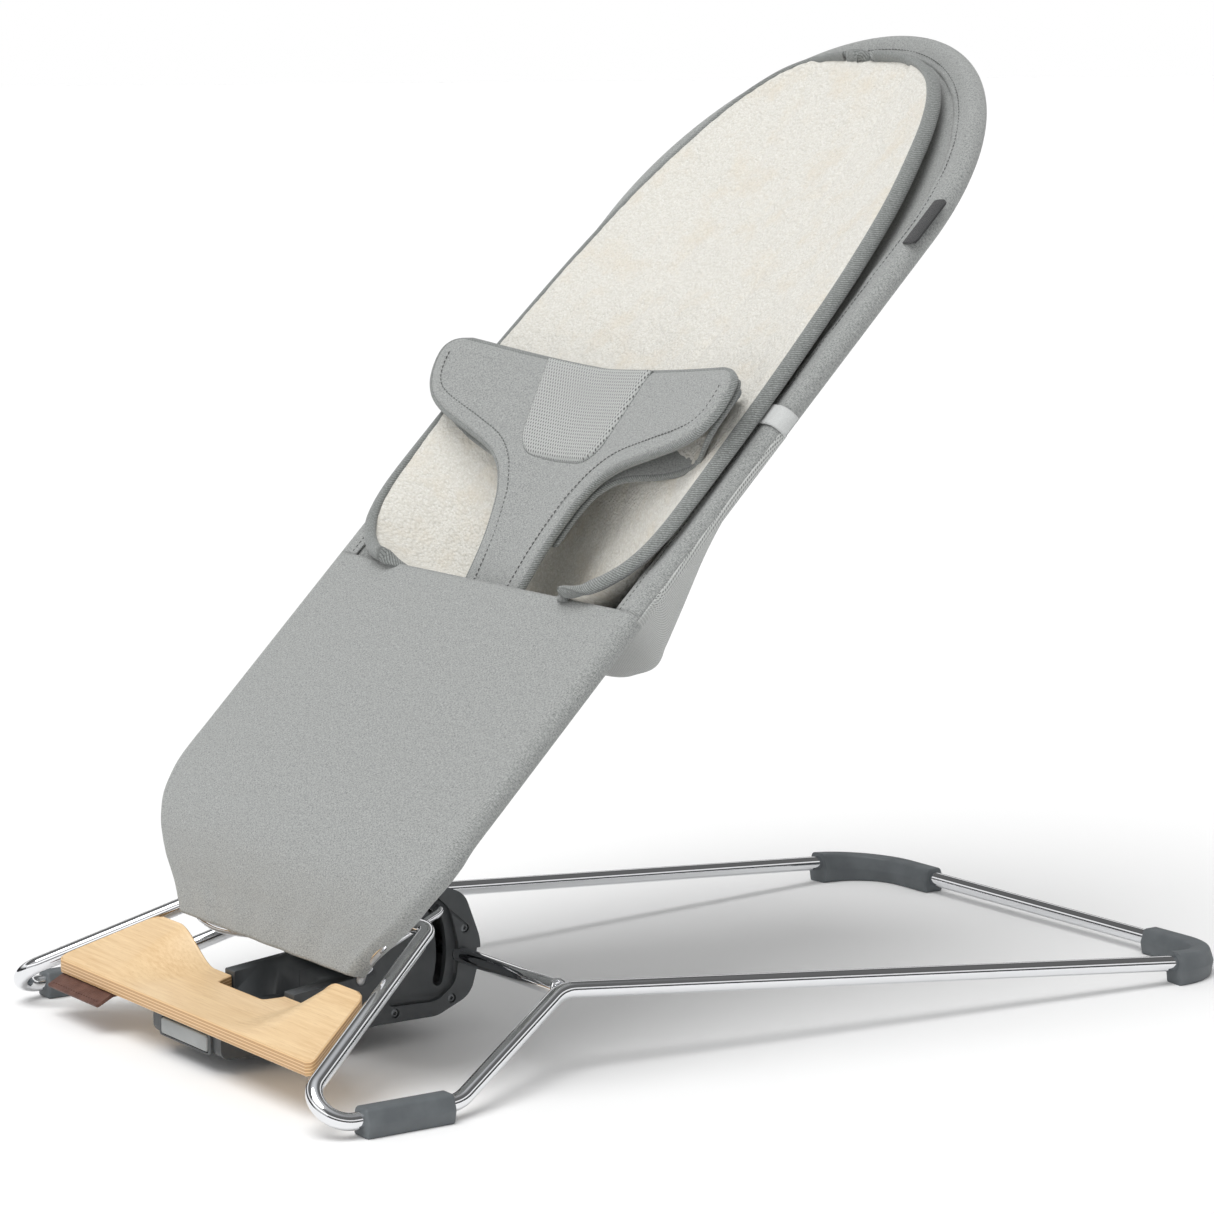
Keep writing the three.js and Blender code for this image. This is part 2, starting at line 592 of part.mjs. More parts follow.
// A coil spring beside the release rod, as one wire of round section.
function helix(x, z, y0, y1, turns) {
  const radius = 3.2;
  class Coil extends THREE.Curve {
    getPoint(t) {
      const a = t * turns * 2 * Math.PI;
      return new THREE.Vector3(x + radius * Math.cos(a), y0 + t * (y1 - y0), z + radius * Math.sin(a));
    }
  }
  return new THREE.ExtrudeGeometry(circle(0.5), {
    steps: turns * 10, extrudePath: new Coil(), curveSegments: 2, bevelEnabled: false,
  });
}

// ---- pivot --------------------------------------------------------------------------------------------------
const HOUSING_HALF = 33;
const HOUSING_R = 7.2;
const BUSH_R = 4.4;

function pivot() {
  const [py, pz] = PIVOT;
  // housing: a round-nosed block screwed to the hub's front face
  const nose = new THREE.Shape();
  nose.moveTo(157 - GAP - 0.6, pz - 5);
  nose.lineTo(157 - GAP, pz + 14);
  nose.lineTo(py + 4, pz + 14);
  nose.absarc(py, pz, HOUSING_R, Math.PI * 0.45, -Math.PI * 0.2, false);
  nose.closePath();
  const body = alongX(nose, -HOUSING_HALF, HOUSING_HALF, 8);
  const bore = rod([-HOUSING_HALF - 1, py, pz], [HOUSING_HALF + 1, py, pz], BUSH_R + GAP);
  add('pivot_housing', subtract(body, bore), plastic());

  for (const [label, side] of SIDES) {
    const ring = circle(BUSH_R);
    ring.holes.push(circle(BAR_R + 0.1));
    const x = side > 0 ? [HOUSING_HALF - 12, HOUSING_HALF] : [-HOUSING_HALF, -HOUSING_HALF + 12];
    const bush = new THREE.ExtrudeGeometry(ring, { depth: 12, bevelEnabled: false, curveSegments: 8 });
    bush.rotateY(Math.PI / 2).translate(x[0], py, pz);
    add(`pivot_bush_${label}`, bush, brass());
  }
  add('pivot_bar', rod([2 - BAR_HALF, py, pz], [BAR_HALF - 2, py, pz], BAR_R, 8), chrome());

  for (const [i, x] of [36, 39.5].entries()) {
    const ring = circle(5);
    ring.holes.push(circle(BAR_R + GAP));
    const washer = new THREE.ExtrudeGeometry(ring, { depth: 1.4, bevelEnabled: false, curveSegments: 8 });
    add(`spring_washer_${i + 1}`, washer.rotateY(Math.PI / 2).translate(x, py, pz), brass());
  }
  const cap = circle(6.2);
  cap.holes.push(circle(BAR_R + GAP));
  const collar = new THREE.ExtrudeGeometry(cap, { depth: 4.5, bevelEnabled: false, curveSegments: 8 });
  add('bar_collar', collar.rotateY(Math.PI / 2).translate(42.5, py, pz), lightPlastic());

  for (const [label, side] of SIDES) {
    const start = [ARM_X * side, py + 3.6, pz + 3.6 * (ARM_END[1] - pz) / (ARM_END[0] - py) + 2.6];
    const bend = [ARM_X * side, ARM_END[0], ARM_END[1]];
    const pin = [31.5 * side, ARM_END[0], ARM_END[1]];
    add(`recline_arm_${label}`, sweep(bentPath([start, bend, pin], 6), BAR_R, 6, 5), chrome());
  }
}

// ---- seat frame ---------------------------------------------------------------------------------------------
const seatPoint = (x, along, off = 0) => new THREE.Vector3(x,
  SEAT_FOOT[0] + along * Math.cos(SEAT_ANGLE) - off * Math.sin(SEAT_ANGLE),
  SEAT_FOOT[1] + along * Math.sin(SEAT_ANGLE) + off * Math.cos(SEAT_ANGLE));

// From the pivot bar forward and out, then up into the rail.
function lowerTubePath(side) {
  const points = [
    [BAR_HALF + GAP, 144, 57], [66, 142.5, 57], [90, 121, 61], [109, 114, 76], [135, 118, 100],
    [153, 125, 121], [161.5, 134, 138], seatPoint(SEAT_HALF, -7).toArray(), seatPoint(SEAT_HALF, -0.4).toArray()];
  return new THREE.CatmullRomCurve3(points.map((p) => vec(mirrored(p, side))), false, 'centripetal');
}

function seatFrame() {
  for (const [label, side] of SIDES) {
    add(`lower_tube_${label}`, sweep(lowerTubePath(side), SEAT_TUBE_R, 10, 5), chrome());
    const x = SEAT_HALF * side;
    const from = seatPoint(x, GAP).toArray();
    const to = seatPoint(x, RAIL_LENGTH - GAP).toArray();
    add(`seat_rail_${label}`, rod(from, to, SEAT_TUBE_R), chrome());
  }
  class HeadBow extends THREE.Curve {
    getPoint(t) {
      const a = Math.PI * t;
      return seatPoint(HEAD_R * Math.cos(a), RAIL_LENGTH + HEAD_R * Math.sin(a));
    }
  }
  add('head_bow', sweep(new HeadBow(), SEAT_TUBE_R, 26), chrome());
}

// ---- seat fabric --------------------------------------------------------------------------------------------
const INNER = SEAT_HALF - SEAT_TUBE_R - 1;     // the cover's edge, beside the rail

// Half width of the cover at a distance along the rail: constant, then round at the head.
function coverHalf(along) {
  const past = along - RAIL_LENGTH;
  if (past <= 0) return INNER;
  const r = HEAD_R - SEAT_TUBE_R - 1;
  return Math.sqrt(Math.max(0, r * r - past * past));
}

// The back: from the bucket's rear edge up to the head, a shallow dish between the rails.
function seatBack() {
  const end = RAIL_LENGTH + (HEAD_R - SEAT_TUBE_R - 1) * 0.985;
  add('seat_back', sheet((u, v) => {
    const along = THREE.MathUtils.lerp(BUCKET_END + 1, end, u);
    const across = 1 - 2 * v;
    const x = coverHalf(along) * across;
    return seatPoint(x, along, -8 * (1 - across * across) * (1 - u * u));
  }, 12, 8, CLOTH), greyCloth());
}

// Depth of the bucket below the rails, from its front edge at u = 0 to its rear edge at u = 1: it drops at once
// behind the lower cover, and its floor slopes up towards the back.
const bucketDepth = (u) =>
  BUCKET_DEPTH * Math.sqrt(1 - (1 - Math.min(1, u / 0.18)) ** 2) * Math.pow(Math.max(0, 1 - u), 0.7);

const bucketOff = (x, u) => -bucketDepth(u) * (1 - Math.pow(Math.min(1, Math.abs(x) / INNER), 2.2));

function meshBucket() {
  add('mesh_bucket', sheet((u, v) => {
    const t = u * u * (3 - 2 * u) * 0.5 + u * 0.5;
    const along = THREE.MathUtils.lerp(POCKET + 1, BUCKET_END, t);
    const x = INNER * (1 - 2 * v);
    return seatPoint(x, along, bucketOff(x, t));
  }, 16, 12, CLOTH), greyCloth());
}

// The lower cover: stretched over the lower tubes from the hem up to its top edge, in front of the bucket.
function lowerCover() {
  const rows = [
    [101, 112.5, 77], [114, 114.5, 87], [128, 117, 98], [140, 120.5, 108], [148, 125, 121],
    [157, 135, 139], [INNER, 150, 156], [INNER, 200, 207], [INNER, 262, 269.5]];
  const edge = new THREE.CatmullRomCurve3(rows.map(([x, y, z]) => new THREE.Vector3(x - 1, y, z)));
  add('lower_cover', sheet((u, v) => {
    const p = edge.getPoint(u);
    const across = 2 * v - 1;
    const bulge = 3 * (1 - across * across) * Math.sin(Math.PI * u);
    return new THREE.Vector3((p.x - 5) * across, p.y - bulge, p.z + bulge);
  }, 14, 6, CLOTH), greyCloth());
}

// The liner: a terry pad on the back that dips into the bucket. Rows of distance along the rail and half width.
const LINER_WIDTHS = [[206, 143], [240, 148], [330, 146], [423, 136], [521, 120], [580, 102], [604, 82], [617, 60]];
const LINER_THICK = 6;

function linerPad() {
  const outline = new THREE.CatmullRomCurve3(LINER_WIDTHS.map(([along, half]) => new THREE.Vector3(half, along, 0)));
  const [[foot], [head]] = [LINER_WIDTHS[0], LINER_WIDTHS.at(-1)];
  const dipEnd = BUCKET_END - 22;
  add('liner_pad', sheet((u, v) => {
    const { x: half, y: along } = outline.getPoint(u);
    const dip = THREE.MathUtils.clamp((along - POCKET - 1) / (dipEnd - POCKET - 1), 0, 1);
    const across = 1 - 2 * v;
    const depth = -0.66 * bucketOff(half * across, dip);
    const toHead = (head - along) / (head - foot);
    const dish = -8 * (1 - across * across) * smoothstep(BUCKET_END, BUCKET_END + 60, along) * toHead;
    return seatPoint(half * across, along, -depth + dish + CLOTH + 5);
  }, 20, 8, LINER_THICK), creamTerry());
}

// The harness: a strap that rises out of the pocket and spreads into two wings. Rows of distance along the rail
// and half width.
const HARNESS_WIDTHS = [[178, 31], [208, 34], [232, 41], [248, 50], [262, 68], [274, 103], [284, 140], [297, 157],
  [316, 163], [326, 160], [333, 146]];

// Height above the rails' plane: the strap climbs, and the wings rise towards their tips.
const harnessOff = (x, along) => -8 + 33 * (along - POCKET) / 161 + 20 * Math.pow(Math.abs(x) / 163, 1.4);

function harness() {
  const outline = new THREE.CatmullRomCurve3(
    HARNESS_WIDTHS.map(([along, half]) => new THREE.Vector3(half, along, 0)));
  add('harness', sheet((u, v) => {
    const { x: half, y: along } = outline.getPoint(u);
    const x = half * (1 - 2 * v);
    return seatPoint(x, along, harnessOff(x, along));
  }, 16, 8, 4), greyCloth());
}

function trims() {
  for (const [label, side] of SIDES) {
    const at = seatPoint(140 * side, POCKET + 147, 26);
    const clip = new THREE.BoxGeometry(16, 26, 6);
    clip.rotateX(SEAT_ANGLE).translate(at.x, at.y, at.z);
    add(`buckle_${label}`, clip, lightPlastic());
  }
  const tagAt = seatPoint(SEAT_HALF + SEAT_TUBE_R + 3.6, RAIL_LENGTH + 6, 3);
  const tag = new THREE.BoxGeometry(1.6, 36, 14).rotateX(SEAT_ANGLE).translate(tagAt.x, tagAt.y, tagAt.z);
  add('side_tag', tag, blackWeave());
  const loopAt = seatPoint(SEAT_HALF + SEAT_TUBE_R + 3, POCKET + 158, 6);
  const loop = new THREE.BoxGeometry(1.6, 15, 15).rotateX(SEAT_ANGLE).translate(loopAt.x, loopAt.y, loopAt.z);
  add('ribbon_loop', loop, finish(0xc9cbca, 0.8));
}

baseWires();
feet();
footplate();
plateFasteners();
leatherTag();
hub();
release();
pivot();
seatFrame();
seatBack();
meshBucket();
lowerCover();
linerPad();
harness();
trims();

export default bouncer;
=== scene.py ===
import math

import bpy
import numpy as np
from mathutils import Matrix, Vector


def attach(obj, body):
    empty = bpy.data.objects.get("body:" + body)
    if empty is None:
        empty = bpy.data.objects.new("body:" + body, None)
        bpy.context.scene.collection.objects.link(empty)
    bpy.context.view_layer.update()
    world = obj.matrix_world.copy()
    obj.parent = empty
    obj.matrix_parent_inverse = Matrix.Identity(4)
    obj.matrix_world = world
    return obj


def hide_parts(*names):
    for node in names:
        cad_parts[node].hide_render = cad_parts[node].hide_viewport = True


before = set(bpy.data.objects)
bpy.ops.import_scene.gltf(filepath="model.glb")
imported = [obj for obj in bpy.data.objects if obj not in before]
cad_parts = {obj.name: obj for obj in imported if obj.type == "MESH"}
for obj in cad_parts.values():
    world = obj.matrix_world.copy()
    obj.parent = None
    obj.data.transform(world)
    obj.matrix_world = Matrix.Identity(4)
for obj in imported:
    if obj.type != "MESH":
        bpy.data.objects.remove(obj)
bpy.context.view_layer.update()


# ---- base wire -----------------------------------------------------------------------------------
# One length of 10.4 mm steel wire, bent cold at ten corners, both ends held in the hub, and plated with
# chrome. A straight cross tube of the same stock is welded between its knees.
BACK = 0.386655            # from the front bend's corner to the middle of the base
WIRE_R = 0.0052
WIRE_LOW = 0.010           # the wire's centre where it runs along the floor
CROWN = (0.101, 0.163, 0.088)
TOE = (0.201, 0.0, WIRE_LOW)
HEEL = (0.200, 0.121, WIRE_LOW)
KNEE = (0.1535, 0.2243, 0.0529)
REAR = (0.1974, 0.7364, WIRE_LOW)
HUB_SIDE = 0.0433
REAR_BEND = 0.045          # radius of the rear corners
CROSS_INSET = 0.0048       # from a knee to the end of the cross tube
WELD_IN, WELD_RISE, WELD_ROUND, WELD_R = 0.0038, 0.0016, 0.0051, 0.0014
CAP_RADIUS, CAP_LENGTH = 0.82, 0.18      # of a bar's own radius
SIDES = (("right", 1), ("left", -1))


def base_point(x, y, z):
    """A point of the base whose Y was measured from the front bend's corner."""
    return np.array([x, y - BACK, z])


def unit(v):
    """Vectors of length one."""
    return v / np.maximum(np.linalg.norm(v, axis=-1, keepdims=True), 1e-12)


def bent_path(corners, radii, step=0.0016):
    """The line through the corners with each inner one rounded: the arc touches both legs at
    radius / tan(half angle) from the corner, and its centre lies on their bisector."""
    points = [corners[0]]
    for before, corner, after, radius in zip(corners, corners[1:], corners[2:], radii):
        a, b = unit(before - corner), unit(after - corner)
        half = math.acos(np.clip(a @ b, -1, 1)) / 2
        centre = corner + unit(a + b) * radius / math.sin(half)
        start = corner + a * radius / math.tan(half)
        out = unit(start - centre)
        turn = math.pi - 2 * half
        t = np.linspace(0, turn, max(5, math.ceil(radius * turn / step)))[:, None]
        points.extend(centre + radius * (out * np.cos(t) - a * np.sin(t)))
    points.append(corners[-1])
    return np.array(points)


def framed(path, closed=False):
    """Tangents of a path, and two directions square to them that are carried along with the least twist."""
    ahead = np.roll(path, -1, 0) - path
    back = path - np.roll(path, 1, 0)
    tangent = unit(unit(ahead) + unit(back))
    if not closed:
        tangent[0], tangent[-1] = unit(ahead[0]), unit(back[-1])
    side = np.zeros_like(path)
    side[0] = unit(np.cross(tangent[0], [0.03, 0.02, 1.0]))
    for i in range(1, len(path)):
        side[i] = unit(side[i - 1] - tangent[i] * (side[i - 1] @ tangent[i]))
    return tangent, side, np.cross(tangent, side)


def grid_faces(rows, columns, close_rows=False, close_columns=False):
    """The quads of a grid of rows x columns points, whose last row or column may join the first."""
    i = np.arange(rows if close_rows else rows - 1)[:, None]
    j = np.arange(columns if close_columns else columns - 1)[None, :]
    at = lambda a, b: (a % rows) * columns + b % columns
    return np.stack([at(i, j), at(i, j + 1), at(i + 1, j + 1), at(i + 1, j)], -1).reshape(-1, 4)


def capped_faces(rows, columns):
    """The quads of a row of rings, with a face across the first ring and one across the last."""
    total = rows * columns
    ends = [list(range(columns))[::-1], list(range(total - columns, total))]
    return grid_faces(rows, columns, False, True).tolist() + ends


def piece(name, points, faces, material, slot, body, uv=None, replaces=(), angle=None):
    """A finished mesh in its place, with its material and body. uv gives each point a place on the
    cloth, in metres. Edges sharper than `angle` degrees stay sharp, and all others are smooth. The slot
    argument is not used."""
    mesh = bpy.data.meshes.new(name)
    corners_of = [list(map(int, f)) for f in faces]
    mesh.from_pydata(np.asarray(points, float).reshape(-1, 3).tolist(), [], corners_of)
    mesh.update()
    if uv is not None:
        corner = np.zeros(len(mesh.loops), np.int32)
        mesh.loops.foreach_get("vertex_index", corner)
        layer = mesh.uv_layers.new(name="cloth")
        layer.data.foreach_set("uv", np.asarray(uv, np.float32).reshape(-1, 2)[corner].ravel())
    mesh.polygons.foreach_set("use_smooth", [True] * len(mesh.polygons))
    if angle is not None:
        mesh.set_sharp_from_angle(angle=math.radians(angle))
    made = bpy.data.objects.new(name, mesh)
    bpy.context.scene.collection.objects.link(made)
    mesh.materials.append(material)
    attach(made, body)
    if replaces:
        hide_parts(*replaces)
    return made


def tube(path, radius, sides=20, closed=False):
    """Points and faces of a round bar: a circle carried along the path, drawn in at each open end."""
    tangent, side, up = framed(path, closed)
    turn = np.linspace(0, 2 * np.pi, sides, endpoint=False)[None, :, None]
    ring = side[:, None] * np.cos(turn) + up[:, None] * np.sin(turn)
    points = path[:, None] + radius * ring
    if closed:
        return points, grid_faces(len(path), sides, True, True)
    wide, deep = CAP_RADIUS * radius, CAP_LENGTH * radius
    first = path[:1, None] + wide * ring[:1] - deep * tangent[:1, None]
    last = path[-1:, None] + wide * ring[-1:] + deep * tangent[-1:, None]
    points = np.concatenate([first, points, last])
    return points, capped_faces(len(points), sides)


class Reading:
    """A value read in a material. Python sums on it add Math nodes."""

    def __init__(self, finish, socket):
        self.finish, self.socket = finish, socket

    def maths(self, operation, *others):
        return self.finish.node("ShaderNodeMath", {"operation": operation}, dict(enumerate([self, *others])))

    def __add__(self, other):
        return self.maths("ADD", other)

    def __sub__(self, other):
        return self.maths("SUBTRACT", other)

    def __rsub__(self, other):
        return self * -1.0 + other

    def __mul__(self, other):
        return self.maths("MULTIPLY", other)

    def __gt__(self, other):
        return self.maths("GREATER_THAN", other)

    __radd__, __rmul__ = __add__, __mul__


class Finish:
    """A material with one Principled shader, made node by node."""

    def __init__(self, name, **plain):
        self.material = bpy.data.materials.new(name)
        self.material.use_nodes = True
        self.tree = self.material.node_tree
        self.shader = self.tree.nodes["Principled BSDF"]
        for key, value in plain.items():
            self.shader.inputs[key.replace("_", " ").title()].default_value = value

    def node(self, kind, settings=None, values=None, out=0):
        """Adds a node: first its settings, then the values or readings of its sockets."""
        made = self.tree.nodes.new(kind)
        for key, value in (settings or {}).items():
            setattr(made, key, value)
        for key, value in (values or {}).items():
            self.feed(made.inputs[key], value)
        return Reading(self, made.outputs[out])

    def feed(self, socket, value):
        if isinstance(value, Reading):
            self.tree.links.new(value.socket, socket)
        else:
            socket.default_value = value

    def place(self, scale=(1, 1, 1), uv=False):
        """The place on the piece, or on its cloth, scaled."""
        at = self.node("ShaderNodeTexCoord", out="UV" if uv else "Object")
        return self.node("ShaderNodeMapping", None, {"Vector": at, "Scale": scale})

    def cloth_axes(self):
        """The two directions of the cloth."""
        at = {"Vector": self.place(uv=True)}
        parts = self.node("ShaderNodeSeparateXYZ", None, at, out="X").socket.node
        return Reading(self, parts.outputs["X"]), Reading(self, parts.outputs["Y"])

    def noise(self, at, scale, detail=2.0, rough=0.5):
        return self.node("ShaderNodeTexNoise", None, {
            "Vector": at, "Scale": scale, "Detail": detail, "Roughness": rough})

    def mix(self, share, a, b):
        """Colour a where share is 0, and b where it is 1."""
        return self.node("ShaderNodeMix", {"data_type": "RGBA"}, {0: share, 6: a, 7: b}, out=2)

    def between(self, value, low, high, to_low=0.0, to_high=1.0):
        return self.node("ShaderNodeMapRange", None, {
            "Value": value, "From Min": low, "From Max": high, "To Min": to_low, "To Max": to_high})

    def bump(self, height, distance):
        """Raises the surface by height times distance, in metres."""
        raised = {"Height": height, "Distance": distance, "Strength": 1.0}
        self.set("Normal", self.node("ShaderNodeBump", None, raised, out="Normal"))

    def set(self, name, value):
        self.feed(self.shader.inputs[name], value)


def rgb(red, green, blue):
    """A colour given in 0 to 255 screen values, as the shader takes it."""
    c = np.array([red, green, blue]) / 255
    return (*np.where(c < 0.04045, c / 12.92, ((c + 0.055) / 1.055) ** 2.4), 1.0)


def bright_metal(name, colour, rough, smudge):
    """Plated or turned metal: fine smudges change how sharply it mirrors."""
    made = Finish(name, metallic=1.0, base_color=colour)
    cloud = made.noise(made.place(), 90.0, 3.0)
    made.set("Roughness", made.between(cloud, 0.3, 0.7, rough, rough + smudge))
    made.bump(made.noise(made.place(), 700.0, 1.0), 0.00001)
    return made.material


chrome = bright_metal("chrome_plate", rgb(232, 233, 235), 0.045, 0.035)

right_run = [(HUB_SIDE, CROWN[1], CROWN[2]), CROWN, TOE, HEEL, KNEE, REAR]
corners = [base_point(*p) for p in right_run]
corners += [base_point(-x, y, z) for x, y, z in right_run[::-1]]
bends = [0.011, 0.017, 0.026, 0.026, REAR_BEND]
wire = bent_path(corners, bends + bends[::-1])
base_nodes = ["front_arm", "plate_wire", "floor_wire", "leg_wire", "side_rail", "rear_corner"]
piece("bent_base_wire", *tube(wire, WIRE_R, 28), chrome, "base_wire", "base",
      replaces=[f"{n}_{s}" for n in base_nodes for s in ("right", "left")] + ["rear_bar"])

cross_half = KNEE[0] - CROSS_INSET
cross = np.array([base_point(x, KNEE[1], KNEE[2]) for x in np.linspace(-cross_half, cross_half, 9)])
piece("cross_tube_bar", *tube(cross, WIRE_R, 28), chrome, "base_wire", "base", replaces=["cross_tube"])


def weld_bead(x):
    """A ring of weld round the joint: a tube on a saddle line that rises and falls round the bar."""
    a = np.linspace(0, 2 * np.pi, 40, endpoint=False)
    out = abs(x) - WELD_IN + WELD_RISE * np.cos(2 * a)
    line = np.stack([np.sign(x) * out, KNEE[1] - BACK + WELD_ROUND * np.cos(a),
                     KNEE[2] + WELD_ROUND * np.sin(a)], -1)
    return tube(line, WELD_R, 8, closed=True)


for side, sign in SIDES:
    piece(f"knee_weld_{side}", *weld_bead(sign * KNEE[0]), chrome, "base_wire", "base")


# ---- feet ----------------------------------------------------------------------------------------
# Rubber sleeves, moulded with a flat sole and bevelled shoulders, slit along one shoulder and pushed over
# the wire: straight ones behind the front bends, and curved ones round the rear corners.
SOLE_HALF, SLEEVE_HALF, SLEEVE_TOP = 0.0075, 0.0092, 0.0176


def rounded_outline(corners, radii, points=6):
    """A closed outline in a plane, each corner rounded by an arc of its own radius."""
    made = []
    n = len(corners)
    for i in range(n):
        c = np.array(corners[i], float)
        a, b = unit(np.array(corners[i - 1]) - c), unit(np.array(corners[(i + 1) % n]) - c)
        if radii[i] <= 0:
            made.append(c)
            continue
        half = math.acos(np.clip(a @ b, -1, 1)) / 2
        centre = c + unit(a + b) * radii[i] / math.sin(half)
        reach = radii[i] / math.tan(half)
        start, end = c + a * reach - centre, c + b * reach - centre
        turn = math.acos(np.clip(unit(start) @ unit(end), -1, 1))
        for t in np.linspace(0, 1, points):
            made.append(centre + (np.sin((1 - t) * turn) * start + np.sin(t * turn) * end) / math.sin(turn))
    return np.array(made)


def rubber_finish():
    """Moulded rubber: a fine even grain, and paler rubbed patches."""
    made = Finish("foot_rubber", roughness=0.55)
    rub = made.noise(made.place(), 60.0, 4.0)
    made.set("Base Color", made.mix(made.between(rub, 0.35, 0.7), rgb(92, 97, 100), rgb(104, 109, 112)))
    made.bump(made.noise(made.place(), 1500.0, 2.0), 0.00006)
    return made.material


rubber = rubber_finish()
sleeve_outline = rounded_outline(
    [(-SOLE_HALF, 0), (SOLE_HALF, 0), (SLEEVE_HALF, 0.0085), (0.006, SLEEVE_TOP), (-0.006, SLEEVE_TOP),
     (-SLEEVE_HALF, 0.0085)], [0.0015, 0.0015, 0.003, 0.003, 0.003, 0.003])
END_ROUND = 0.0016
SLIT_DEPTH, SLIT_ANGLE, SLIT_WIDTH = 0.0007, 0.62, 0.05      # angle and width in radians


def quarter_rise(distance, reach):
    """Rises from 0 at an edge to 1 at its reach, as a quarter circle does."""
    return np.sqrt(np.clip(1 - (1 - np.clip(distance / reach, 0, 1)) ** 2, 0, 1))


def lengths(path):
    """How far each point of a path is from its start."""
    return np.concatenate([[0], np.cumsum(np.linalg.norm(np.diff(path, axis=0), axis=1))])


def sleeve(path, slit_side):
    """The outline carried along the path, upright on the floor, drawn in at both ends by a quarter round. A
    thin slit is pressed into the shoulder on the slit's side."""
    tangent = unit(np.gradient(path, axis=0) * [1, 1, 0])
    out = np.stack([tangent[:, 1], -tangent[:, 0], 0 * tangent[:, 0]], -1)
    along = lengths(path)
    edge = np.minimum(along, along[-1] - along)
    draw = END_ROUND * (1 - quarter_rise(edge, END_ROUND))
    centre = np.array([0, WIRE_LOW * 0.88])
    ray = sleeve_outline - centre
    length = np.linalg.norm(ray, axis=1, keepdims=True)
    ring = centre + ray * (1 - draw[:, None, None] / length)
    angle = np.arctan2(ray[:, 1], ray[:, 0] * slit_side)
    inside_ends = np.clip(edge / 0.004 - 0.5, 0, 1)[:, None]
    groove = SLIT_DEPTH * np.exp(-((angle - SLIT_ANGLE) / SLIT_WIDTH) ** 2) * inside_ends
    ring = ring - unit(ray) * groove[..., None]
    lift = (path[:, 2] - WIRE_LOW)[:, None] * ring[..., 1] / SLEEVE_TOP
    points = path[:, None] * [1, 1, 0] + out[:, None] * ring[..., :1]
    points[..., 2] = ring[..., 1] + lift
    return points, capped_faces(len(path), len(sleeve_outline))


def resampled(path, spacing):
    """The same line with points at even steps."""
    along = lengths(path)
    at = np.linspace(0, along[-1], max(3, math.ceil(along[-1] / spacing)))
    return np.stack([np.interp(at, along, path[:, k]) for k in range(3)], 1)


def with_ends(path):
    """The line with close points added where the sleeve's ends are rounded."""
    first, last = unit(path[1] - path[0]), unit(path[-2] - path[-1])
    near = np.array([0, 0.0002, 0.0005, 0.001, END_ROUND])[:, None]
    return np.concatenate([path[0] + near * first, path[1:-1], (path[-1] + near * last)[::-1]])


FRONT_SLEEVE_X, FRONT_SLEEVE_Y = 0.2006, (0.054, 0.114)
REAR_SLEEVE_SIDE, REAR_SLEEVE_BAR = 0.0472, 0.0813     # from the wire's corner to each end of the sleeve
for side, sign in SIDES:
    front = np.array([base_point(sign * FRONT_SLEEVE_X, y, WIRE_LOW) for y in FRONT_SLEEVE_Y])
    piece(f"front_foot_sleeve_{side}", *sleeve(with_ends(resampled(front, 0.003)), -sign), rubber,
          "foot_rubber", "base", replaces=[f"front_foot_{side}"], angle=40)
    knee, rear = base_point(sign * KNEE[0], *KNEE[1:]), base_point(sign * REAR[0], *REAR[1:])
    start = rear + unit(knee - rear) * REAR_SLEEVE_SIDE
    end = rear - np.array([sign * REAR_SLEEVE_BAR, 0, 0])
    curve = bent_path([start, rear, end], [REAR_BEND])
    piece(f"rear_foot_sleeve_{side}", *sleeve(with_ends(resampled(curve, 0.003)), sign), rubber,
          "foot_rubber", "base", replaces=[f"rear_foot_{side}"], angle=40)


# ---- footplate -----------------------------------------------------------------------------------
# Nine-millimetre birch plywood, moulded with a shallow valley in the middle and raised wings, lacquered. The
# ends lie on the base wire, and a notch at the back clears the hub. Its cut edges show the plies.
PLATE_Y, PLATE_BACK_Y = 0.0443, 0.1016
PLATE_HALF, PLATE_BACK_HALF = 0.168, 0.1344
PLATE_Z, PLATE_THICK = 0.0359, 0.009
PLATE_CORNER, PLATE_END_GAP = 0.007, 0.0058
PLIES = 9.0
VALLEY_SLOPE, WING_SLOPE = 0.104, 0.47
NOTCH = 0.0126             # depth of the notch in the back edge


def smoothstep(a, b, x):
    """Rises from 0 at a to 1 at b, level at both ends."""
    t = np.clip((x - a) / (b - a), 0, 1)
    return t * t * (3 - 2 * t)


def plate_top(x, y):
    """Height of the plate: it rises towards the back, gently in the valley and steeply in the wings."""
    slope = VALLEY_SLOPE + (WING_SLOPE - VALLEY_SLOPE) * smoothstep(0.054, 0.099, np.abs(x))
    return PLATE_Z + (y - PLATE_Y) * slope


def plate_points():
    """Rows from front to back, with quarter-round corners and the notch drawn into the back edge."""
    t = np.linspace(0, 1, 41)[:, None]
    s = np.linspace(-1, 1, 181)[None, :]
    notch = NOTCH * (1 - smoothstep(0.026, 0.037, np.abs(s) * PLATE_BACK_HALF))
    y = PLATE_Y + t * (PLATE_BACK_Y - PLATE_Y - notch)
    away = np.minimum(y - PLATE_Y, PLATE_BACK_Y - y)
    inset = PLATE_CORNER * (1 - quarter_rise(away, PLATE_CORNER))
    wide = PLATE_HALF + (PLATE_BACK_HALF - PLATE_HALF) * (y - PLATE_Y) / (PLATE_BACK_Y - PLATE_Y)
    x = s * (wide - PLATE_END_GAP - inset)
    return x, y + 0 * x


